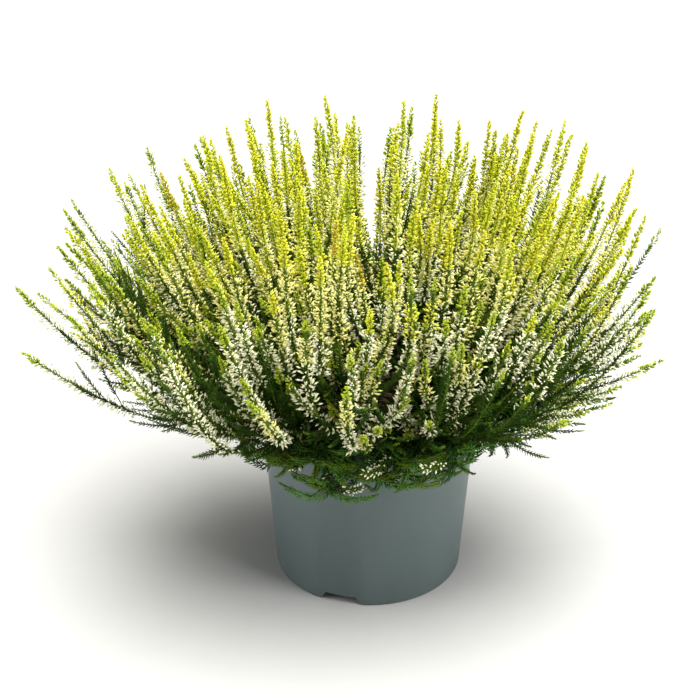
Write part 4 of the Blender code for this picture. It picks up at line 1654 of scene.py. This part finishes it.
    def dress(self, shoot: Shoot, blossom: bool = False) -> None:
        """Set needles along a foot shoot, paler at its tip, and on some a short row of buds."""
        fresh = within(self.fresh, shoot.draws.random())
        shaded = shoot.points[-1][0] > self.shaded_from
        bright = blossom or fresh > self.bright_from and not shaded
        pairs = self.foliage.set_pairs
        pairs(Kind.GREEN_SCALE if shaded else Kind.FRESH_SCALE, shoot, 0.0, self.tip,
              Stand.FOOT_TIP)
        pairs(Kind.FRESH_NEEDLE if bright else Kind.LIP_NEEDLE, shoot, self.tip, fresh,
              Stand.FOOT_YOUNG)
        pairs(Kind.LIP_NEEDLE if fresh < self.pale_below else Kind.SHADE_NEEDLE, shoot, fresh,
              shoot.length, Stand.FOOT_OLD)
        if blossom:
            pairs(Kind.WHITE_BUD, shoot, *self.buds, Stand.FOOT_BUDS)
        self.foliage.foot_stems.add_tapered(shoot.points[::3], self.shoot_radii)

    def _grow_from_stem(self, index: int) -> None:
        """One foot stem with the solid's shoots and finer ones between them."""
        azimuth = 360.0 * (index + 0.5) / self.masses
        sideways = math.cos(math.radians(azimuth)) ** 2
        farthest = self.reach + self.side_reach * sideways
        deepest = self.drop - self.side_lift * sideways
        chance = random.Random(self.seed + index)
        radii = np.linspace(self.start_radius, self.fork_radius, 14)
        points = np.array([self.stem_point(azimuth, radius) for radius in radii])
        stem = Shoot(points, Seed.FOOT_STEM + index)
        self.foliage.foot_stems.add_tapered(points, self.stem_radii)
        self.foliage.set_pairs(Kind.SHADE_NEEDLE, stem, 0.0, self.stem_needles, Stand.FOOT_STEM)
        for number in range(self.shoots):
            turn = self.fan * (number / (self.shoots - 1) - 0.5)
            turn += self.fan_spread * chance.uniform(-1.0, 1.0)
            reach = farthest + self.reach_spread * chance.uniform(-1.0, 1.0)
            drop = deepest * (1 + self.drop_spread * chance.uniform(-1.0, 1.0))
            seed = Seed.HANGING + index * 10 + number
            self.dress(self.hanging(azimuth, turn, reach, drop, seed))
        for number in range(self.finer_shoots):
            turn = self.finer_fan * chance.uniform(-1.0, 1.0)
            reach = farthest - self.finer_loss * chance.random()
            drop = deepest * chance.uniform(*self.finer_drop)
            curl = chance.uniform(*self.finer_curl)
            seed = Seed.FINER_HANGING + index * 20 + number
            shoot = self.hanging(azimuth, turn, reach, drop, seed, curl)
            self.dress(shoot, number == self.blossom_finer)

    def grow(self) -> None:
        """Make the foot stems with their shoots, the combs, and shoots that lie round the lip."""
        for index in range(self.masses):
            self._grow_from_stem(index)
        chance = random.Random(self.seed - 2)
        for number in range(self.combs):
            azimuth = within(self.comb_azimuths, (number + chance.random()) / self.combs)
            curl = chance.uniform(*self.comb_curl)
            self.comb(azimuth, chance.uniform(*self.comb_turn), curl, Seed.COMB + number)
        chance = random.Random(self.seed - 1)
        for number in range(self.lying_shoots):
            azimuth = 360.0 * (number + chance.random()) / self.lying_shoots
            side = math.cos(math.radians(azimuth))
            right = max(0.0, side)
            turn = chance.choice((-1.0, 1.0)) * chance.uniform(*self.lying_turn)
            inner = chance.uniform(*self.lying_inner)
            reach = chance.uniform(*self.lying_reach) + self.right_reach * right * chance.random()
            rise = chance.uniform(*self.lying_rise) + self.right_rise * right * chance.random()
            droop = chance.uniform(*self.lying_droop)
            droop *= 1.0 - self.side_droop_loss * max(side, -0.5 * side)
            shoot = self.lying(azimuth, turn, inner, reach, rise, droop, Seed.LYING + number)
            self.dress(shoot, number % self.blossom_every == self.blossom_finer)


@dataclass
class WoodyFrame:
    """The short trunk and its boughs, with the relief of their bark."""

    growth: Growth
    foot_height: float = 0.1185
    foot_radius: float = 0.0125
    radius: float = 0.009
    rise: float = 0.023
    flare_shares: tuple[float, ...] = (0.2, 0.45, 0.6, 0.72, 0.86, 1.0)
    sides: int = 64
    head_steps: int = 18
    bough_radii: Span = (0.0018, 0.00125)
    bough_reaches: Span = (0.01, 0.0577)
    bough_samples: int = 44
    bough_sides: int = 4
    swell: float = 0.12
    swell_waves: float = 19.0
    relief: float = 0.00035
    bough_relief_share: float = 0.5
    flake_scale: float = 380.0
    grain_scale: float = 1500.0
    grain_share: float = 0.4

    def _roughen(self, mesh: Mesh, depth: float) -> None:
        """Push a mesh's points in and out to give the bark's long flakes."""
        mesh.update()
        moved = []
        for corner in mesh.vertices:
            flake = noise.fractal(corner.co * self.flake_scale, 0.8, 2.0, 4)
            grain = self.grain_share * noise.noise(corner.co * self.grain_scale)
            moved.append(corner.co + corner.normal * depth * (flake + grain))
        for corner, place in zip(mesh.vertices, moved):
            corner.co = place
        mesh.shade_smooth()

    def trunk(self) -> Piece:
        """The trunk: flat cut at the peat, root flare, and a domed head."""
        neck = self.growth.crown_height
        profile = [(0.0, neck + self.rise)]
        for step in range(1, self.head_steps + 1):
            angle = math.pi / 2 * (1 - step / self.head_steps)
            profile.append((self.radius * math.cos(angle), neck + self.rise * math.sin(angle)))
        for share in self.flare_shares:
            radius = within((self.radius, self.foot_radius), share ** 3)
            profile.append((radius, within((neck, self.foot_height), share)))
        profile.append((0.0, self.foot_height))
        mesh = mesh_from(turned(profile, self.sides), "trunk_bark")
        self._roughen(mesh, self.relief)
        low = min(corner.co.z for corner in mesh.vertices)
        for corner in mesh.vertices:
            if corner.co.z < low + self.relief:
                corner.co.z = max(corner.co.z, self.foot_height)
        mesh.materials.append(Bark("trunk_bark").make())
        return settle(object_of(mesh, "trunk_bark"), ["stem"])

    def boughs(self, masses: Sequence[Mass]) -> Piece:
        """Every bough as a tapering limb from the trunk's head to its mass's foot."""
        tubes = Tubes("bough_bark", Bark("bough_bark"), "bark", self.bough_sides)
        share = np.linspace(0.0, 1.0, self.bough_samples)
        reaches = within(self.bough_reaches, share)
        for mass in masses:
            points = self.growth.grown(reaches[:, None] * np.array(mass.axis)[None, :])
            swell = 1.0 + self.swell * np.sin(share * self.swell_waves + mass.seed)
            tubes.add(points, within(self.bough_radii, share) * swell)
        mesh = tubes.mesh()
        self._roughen(mesh, self.relief * self.bough_relief_share)
        mesh.materials.append(tubes.finish.make())
        names = [f"bough_{mass.name}" for mass in masses]
        return settle(object_of(mesh, "bough_bark"), names)


def turned(profile: Sequence[Span], sides: int) -> BMesh:
    """Turn a profile of (radius, height), read down its outer side, about the Z axis.

    Args:
        profile: radii and heights.
        sides: steps of the full turn.

    Returns:
        The closed shape.
    """
    bm = bmesh.new()
    points = [bm.verts.new((radius, 0.0, height)) for radius, height in profile]
    edges = [bm.edges.new(pair) for pair in zip(points, points[1:])]
    bmesh.ops.spin(bm, geom=points + edges, cent=(0, 0, 0), axis=(0, 0, 1), dvec=(0, 0, 0),
                   angle=math.tau, steps=sides, use_merge=True, use_duplicate=False)
    bmesh.ops.remove_doubles(bm, verts=bm.verts, dist=0.000005)
    bmesh.ops.recalc_face_normals(bm, faces=bm.faces)
    return bm


@dataclass
class NurseryPot:
    """The moulded pot: tapered wall, outward lip, and a floor with three raised channels."""

    height: float = 0.125
    base_radius: float = 0.0625
    wall_top_radius: float = 0.0712
    lip_radius: float = 0.075
    lip_height: float = 0.0075
    wall: float = 0.0015
    floor: float = 0.0018
    heel: float = 0.001
    lip_round: float = 0.0009
    sides: int = 144
    channels: int = 3
    first_channel: float = 252.6
    channel_width: float = 0.029
    channel_top_width: float = 0.021
    channel_height: float = 0.0064
    channel_length: float = 0.026
    drain_radius: float = 0.0043
    drain_offset: float = 0.012
    excess: float = 0.004
    soft_edge: float = 0.0004
    soft_angle: float = 40.0
    smooth_angle: float = 32.0
    neck: float = 0.001
    inner_round: float = 0.002

    @staticmethod
    def arc(middle: Span, radius: float, start: float, stop: float, steps: int = 4) -> list[Span]:
        """Points of an arc in the profile's plane, with its angles in degrees."""
        angles = [math.radians(within((start, stop), step / steps)) for step in range(steps + 1)]
        return [(middle[0] + radius * math.cos(angle), middle[1] + radius * math.sin(angle))
                for angle in angles]

    def slope(self) -> float:
        """How fast the wall widens with its height."""
        return (self.wall_top_radius - self.base_radius) / (self.height - self.lip_height)

    def outside(self) -> list[Span]:
        """The outer profile from the mouth's middle down to the foot's middle."""
        lip_foot = self.height - self.lip_height
        edge = self.lip_round
        profile = [(0.0, self.height)]
        profile += self.arc((self.lip_radius - edge, self.height - edge), edge, 90.0, 0.0)
        profile += self.arc((self.lip_radius - edge, lip_foot + edge), edge, 0.0, -90.0)
        profile += self.arc((self.wall_top_radius + edge, lip_foot - edge), edge, 90.0, 180.0)
        profile += self.arc((self.base_radius - self.heel, self.heel), self.heel, 4.0, -90.0)
        return profile + [(0.0, 0.0)]

    def inside(self) -> list[Span]:
        """The profile of the hollow, from above the mouth down to the floor."""
        lip_foot = self.height - self.lip_height
        top = self.height + self.excess
        mouth = self.lip_radius - self.wall
        foot = self.base_radius + self.slope() * self.floor - self.wall
        edge = self.inner_round
        profile = [(0.0, top), (mouth, top), (mouth, lip_foot + self.neck),
                   (self.wall_top_radius - self.wall, lip_foot - self.neck)]
        profile += self.arc((foot - edge, self.floor + edge), edge, 0.0, -90.0)
        return profile + [(0.0, self.floor)]

    def block(self, azimuth: float, grow: float) -> Piece:
        """A radial block with slanted sides that cuts a channel, larger by `grow` all round."""
        slant = (self.channel_width - self.channel_top_width) / 2 / self.channel_height
        bm = bmesh.new()
        bmesh.ops.create_cube(bm, size=1.0)
        for corner in bm.verts:
            height = self.channel_height + grow if corner.co.z > 0 else -self.excess
            half = self.channel_width / 2 + grow * math.hypot(1.0, slant) - slant * height
            near = self.base_radius - self.channel_length - grow
            corner.co = ((self.base_radius + 2 * self.excess) if corner.co.x > 0 else near,
                         math.copysign(half, corner.co.y), height)
        bmesh.ops.rotate(bm, verts=bm.verts, cent=(0, 0, 0),
                         matrix=Matrix.Rotation(math.radians(azimuth), 3, "Z"))
        return object_of(mesh_from(bm, "channel_block"), "channel_block")

    def drain(self, azimuth: float) -> Piece:
        """A round cutter through the roof of a channel."""
        radius = self.base_radius - self.channel_length + self.drain_offset
        bm = bmesh.new()
        bmesh.ops.create_cone(bm, cap_ends=True, segments=24, depth=2 * self.channel_height,
                              radius1=self.drain_radius, radius2=self.drain_radius)
        side = direction(azimuth, 0.0)
        bmesh.ops.translate(bm, verts=bm.verts, vec=(radius * side.x, radius * side.y,
                                                     1.5 * self.channel_height))
        return object_of(mesh_from(bm, "drain_cutter"), "drain_cutter")

    @staticmethod
    def cut(piece: Piece, cutters: Sequence[Piece]) -> None:
        """Cut a piece with others, and remove them."""
        for cutter in cutters:
            modifier = piece.modifiers.new("cut", "BOOLEAN")
            modifier.operation = "DIFFERENCE"
            modifier.solver = "EXACT"
            modifier.object = cutter
        graph = bpy.context.evaluated_depsgraph_get()
        mesh = bpy.data.meshes.new_from_object(piece.evaluated_get(graph))
        piece.modifiers.clear()
        piece.data = mesh
        for cutter in cutters:
            bpy.data.objects.remove(cutter, do_unlink=True)

    def build(self) -> Piece:
        """Make and dress the pot."""
        azimuths = [self.first_channel + 360.0 * index / self.channels
                    for index in range(self.channels)]
        hollow = object_of(mesh_from(turned(self.inside(), self.sides), "hollow"), "hollow")
        self.cut(hollow, [self.block(azimuth, self.wall) for azimuth in azimuths])
        shell = mesh_from(turned(self.outside(), self.sides), "nursery_pot")
        pot = object_of(shell, "nursery_pot")
        self.cut(pot, [self.block(azimuth, 0.0) for azimuth in azimuths])
        self._soften(pot.data)
        self.cut(pot, [hollow] + [self.drain(azimuth) for azimuth in azimuths])
        pot.data.name = "nursery_pot"
        pot.data.shade_smooth()
        pot.data.set_sharp_from_angle(angle=math.radians(self.smooth_angle))
        pot.data.materials.clear()
        pot.data.materials.append(MouldedPlastic().make())
        LOG.info("nursery_pot: %d faces", len(pot.data.polygons))
        return settle(pot, ["pot"])

    def _soften(self, mesh: Mesh) -> None:
        """Round the edges of the channels where they meet the wall."""
        bm = bmesh.new()
        bm.from_mesh(mesh)
        bmesh.ops.remove_doubles(bm, verts=bm.verts, dist=0.00001)
        sharp = [edge for edge in bm.edges if len(edge.link_faces) == 2
                 and edge.calc_face_angle(0.0) > math.radians(self.soft_angle)
                 and max(corner.co.z for corner in edge.verts) < 2 * self.channel_height]
        bmesh.ops.bevel(bm, geom=sharp, offset=self.soft_edge, segments=2, profile=0.5,
                        affect="EDGES", clamp_overlap=True, material=-1)
        bm.to_mesh(mesh)
        bm.free()


@dataclass
class PeatBall:
    """The peat in the pot: a rough crumbly top with loose crumbs on it."""

    pot: NurseryPot
    depth_below_lip: float = 0.008
    crown: float = 0.0012
    lump_scale: float = 160.0
    roughness: float = 0.0011
    smooth_rim: float = 0.02
    rim_share: float = 0.125
    rings: int = 34
    sides: int = 120
    crumbs: int = 700
    crumb_sizes: Span = (0.0008, 0.0026)
    crumb_height: float = 0.7
    crumb_lift: float = 0.0006
    crumb_inset: float = 0.003
    seed: int = 5

    def build(self) -> list[Piece]:
        """Make and dress the peat and its crumbs."""
        edge = self.pot.height - self.depth_below_lip
        low = self.pot.channel_height + self.pot.wall + GAP
        top_radius = self.pot.base_radius + self.pot.slope() * edge - self.pot.wall - GAP
        low_radius = self.pot.base_radius + self.pot.slope() * low - self.pot.wall - GAP
        profile = [(top_radius * step / self.rings, edge + self.crown * (1 - step / self.rings))
                   for step in range(self.rings + 1)]
        profile += [(low_radius, low), (0.0, low)]
        bm = turned(profile, self.sides)
        for corner in bm.verts:
            inside = 1.0 - math.hypot(corner.co.x, corner.co.y) / top_radius
            if corner.co.z > edge - self.crown and inside > self.smooth_rim:
                lump = noise.fractal(corner.co * self.lump_scale, 0.7, 2.0, 5)
                corner.co.z += self.roughness * lump * min(1.0, inside / self.rim_share)
        mesh = mesh_from(bm, "peat")
        mesh.shade_smooth()
        mesh.materials.append(Compost("damp_peat").make())
        piece = settle(object_of(mesh, "peat"), ["root_ball"])
        return [piece] + self._crumbs(edge, top_radius)

    def _crumbs(self, edge: float, top_radius: float) -> list[Piece]:
        """Loose crumbs on the peat."""
        draws = np.random.default_rng(self.seed)
        sprays = Sprays("peat_crumbs", Shape.crumb(), Compost("peat_crumb"), "peat")
        radius = (top_radius - self.crumb_inset) * np.sqrt(draws.random(self.crumbs))
        turn = math.tau * draws.random(self.crumbs)
        size = within(self.crumb_sizes, draws.random(self.crumbs) ** 2)
        height = np.full(self.crumbs, edge + self.crumb_lift)
        places = np.column_stack((radius * np.cos(turn), radius * np.sin(turn), height))
        ahead = np.tile((0.0, 0.0, 1.0), (self.crumbs, 1))
        beside = np.column_stack((np.cos(turn * 7), np.sin(turn * 7), 0.0 * turn))
        sprays.add(places, ahead, beside, size * self.crumb_height, size)
        return sprays.build([])


# The studio


@dataclass
class Studio:
    """A pale floor, soft lights and the camera at the photograph's angle."""

    camera_place: Point = (-0.0138, -1.0714, 0.7363)
    camera_pitch: float = 28.28
    lens: float = 96.83
    sensor: float = 36.0
    floor_radius: float = 9.0
    floor_sides: int = 96
    sky: float = 0.08
    sky_colour: Colour = (1.0, 1.0, 0.95)
    sun: float = 7.8
    sun_width: float = 56.0
    sun_colour: Colour = (1.0, 0.99, 0.95)
    sun_from: Point = (0.2, 0.0, 1.9)
    lamp_size: float = 1.2
    lamp_aim: Point = (0.0, 0.0, 0.18)
    right_place: Point = (1.9, -1.1, 1.1)
    right_power: float = 44.0
    left_place: Point = (-2.0, -0.45, 0.4)
    left_power: float = 31.0

    def camera(self) -> None:
        """Set the camera where the photograph's was."""
        data = bpy.data.cameras.new("photo_camera")
        data.sensor_width = self.sensor
        data.lens = self.lens
        data.clip_end = 100.0
        camera = object_of(data, "photo_camera")
        camera.location = self.camera_place
        camera.rotation_euler = (math.radians(90.0 - self.camera_pitch), 0.0, 0.0)
        bpy.context.scene.camera = camera

    def floor(self) -> None:
        """Lay a round floor under the pot."""
        bm = bmesh.new()
        bmesh.ops.create_circle(bm, cap_ends=True, segments=self.floor_sides,
                                radius=self.floor_radius)
        mesh = mesh_from(bm, "studio_floor")
        mesh.materials.append(StudioFloor().make())
        object_of(mesh, "studio_floor")

    def overhead(self) -> None:
        """A wide soft light from above, even over the whole floor."""
        data = bpy.data.lights.new("overhead", "SUN")
        data.energy = self.sun
        data.angle = math.radians(self.sun_width)
        data.color = self.sun_colour
        facing = Vector(self.sun_from).to_track_quat("Z", "Y")
        object_of(data, "overhead").rotation_euler = facing.to_euler()

    def lamp(self, name: str, place: Point, power: float) -> None:
        """A soft square lamp that looks at the crown.

        Args:
            name: the lamp's name.
            place: where it hangs.
            power: its power in watts.
        """
        data = bpy.data.lights.new(name, "AREA")
        data.size = self.lamp_size
        data.energy = power
        lamp = object_of(data, name)
        lamp.location = place
        facing = (Vector(self.lamp_aim) - Vector(place)).to_track_quat("-Z", "Y")
        lamp.rotation_euler = facing.to_euler()

    def build(self) -> None:
        """Set up the world, floor, lamps and camera."""
        world = bpy.data.worlds.new("studio_world")
        world.use_nodes = True
        sky = world.node_tree.nodes["Background"].inputs
        sky["Color"].default_value = (*self.sky_colour, 1.0)
        sky["Strength"].default_value = self.sky
        bpy.context.scene.world = world
        bpy.context.scene.view_settings.view_transform = "Standard"
        self.floor()
        self.overhead()
        self.lamp("front_right", self.right_place, self.right_power)
        self.lamp("front_left", self.left_place, self.left_power)
        self.camera()


def main() -> None:
    """Build the plant, its pot and the studio."""
    logging.basicConfig(level=logging.INFO, format="%(message)s")
    growth = Growth()
    plan = CrownPlan(growth)
    masses = plan.masses()
    pot = NurseryPot()
    pot.build()
    for piece in PeatBall(pot).build():
        LOG.info("%s made", piece.name)
    wood = WoodyFrame(growth)
    wood.trunk()
    wood.boughs(masses)
    foliage = Foliage()
    shoots = FlowerSpikes(growth, plan, foliage).grow()
    Undergrowth(growth, foliage).grow(masses, shoots)
    feet = FootShoots(foliage)
    feet.grow()
    foliage.build([f"spikes_{mass.name}" for mass in masses], feet.names())
    Studio().build()
    bpy.context.view_layer.update()


if __name__ == "__main__":
    main()
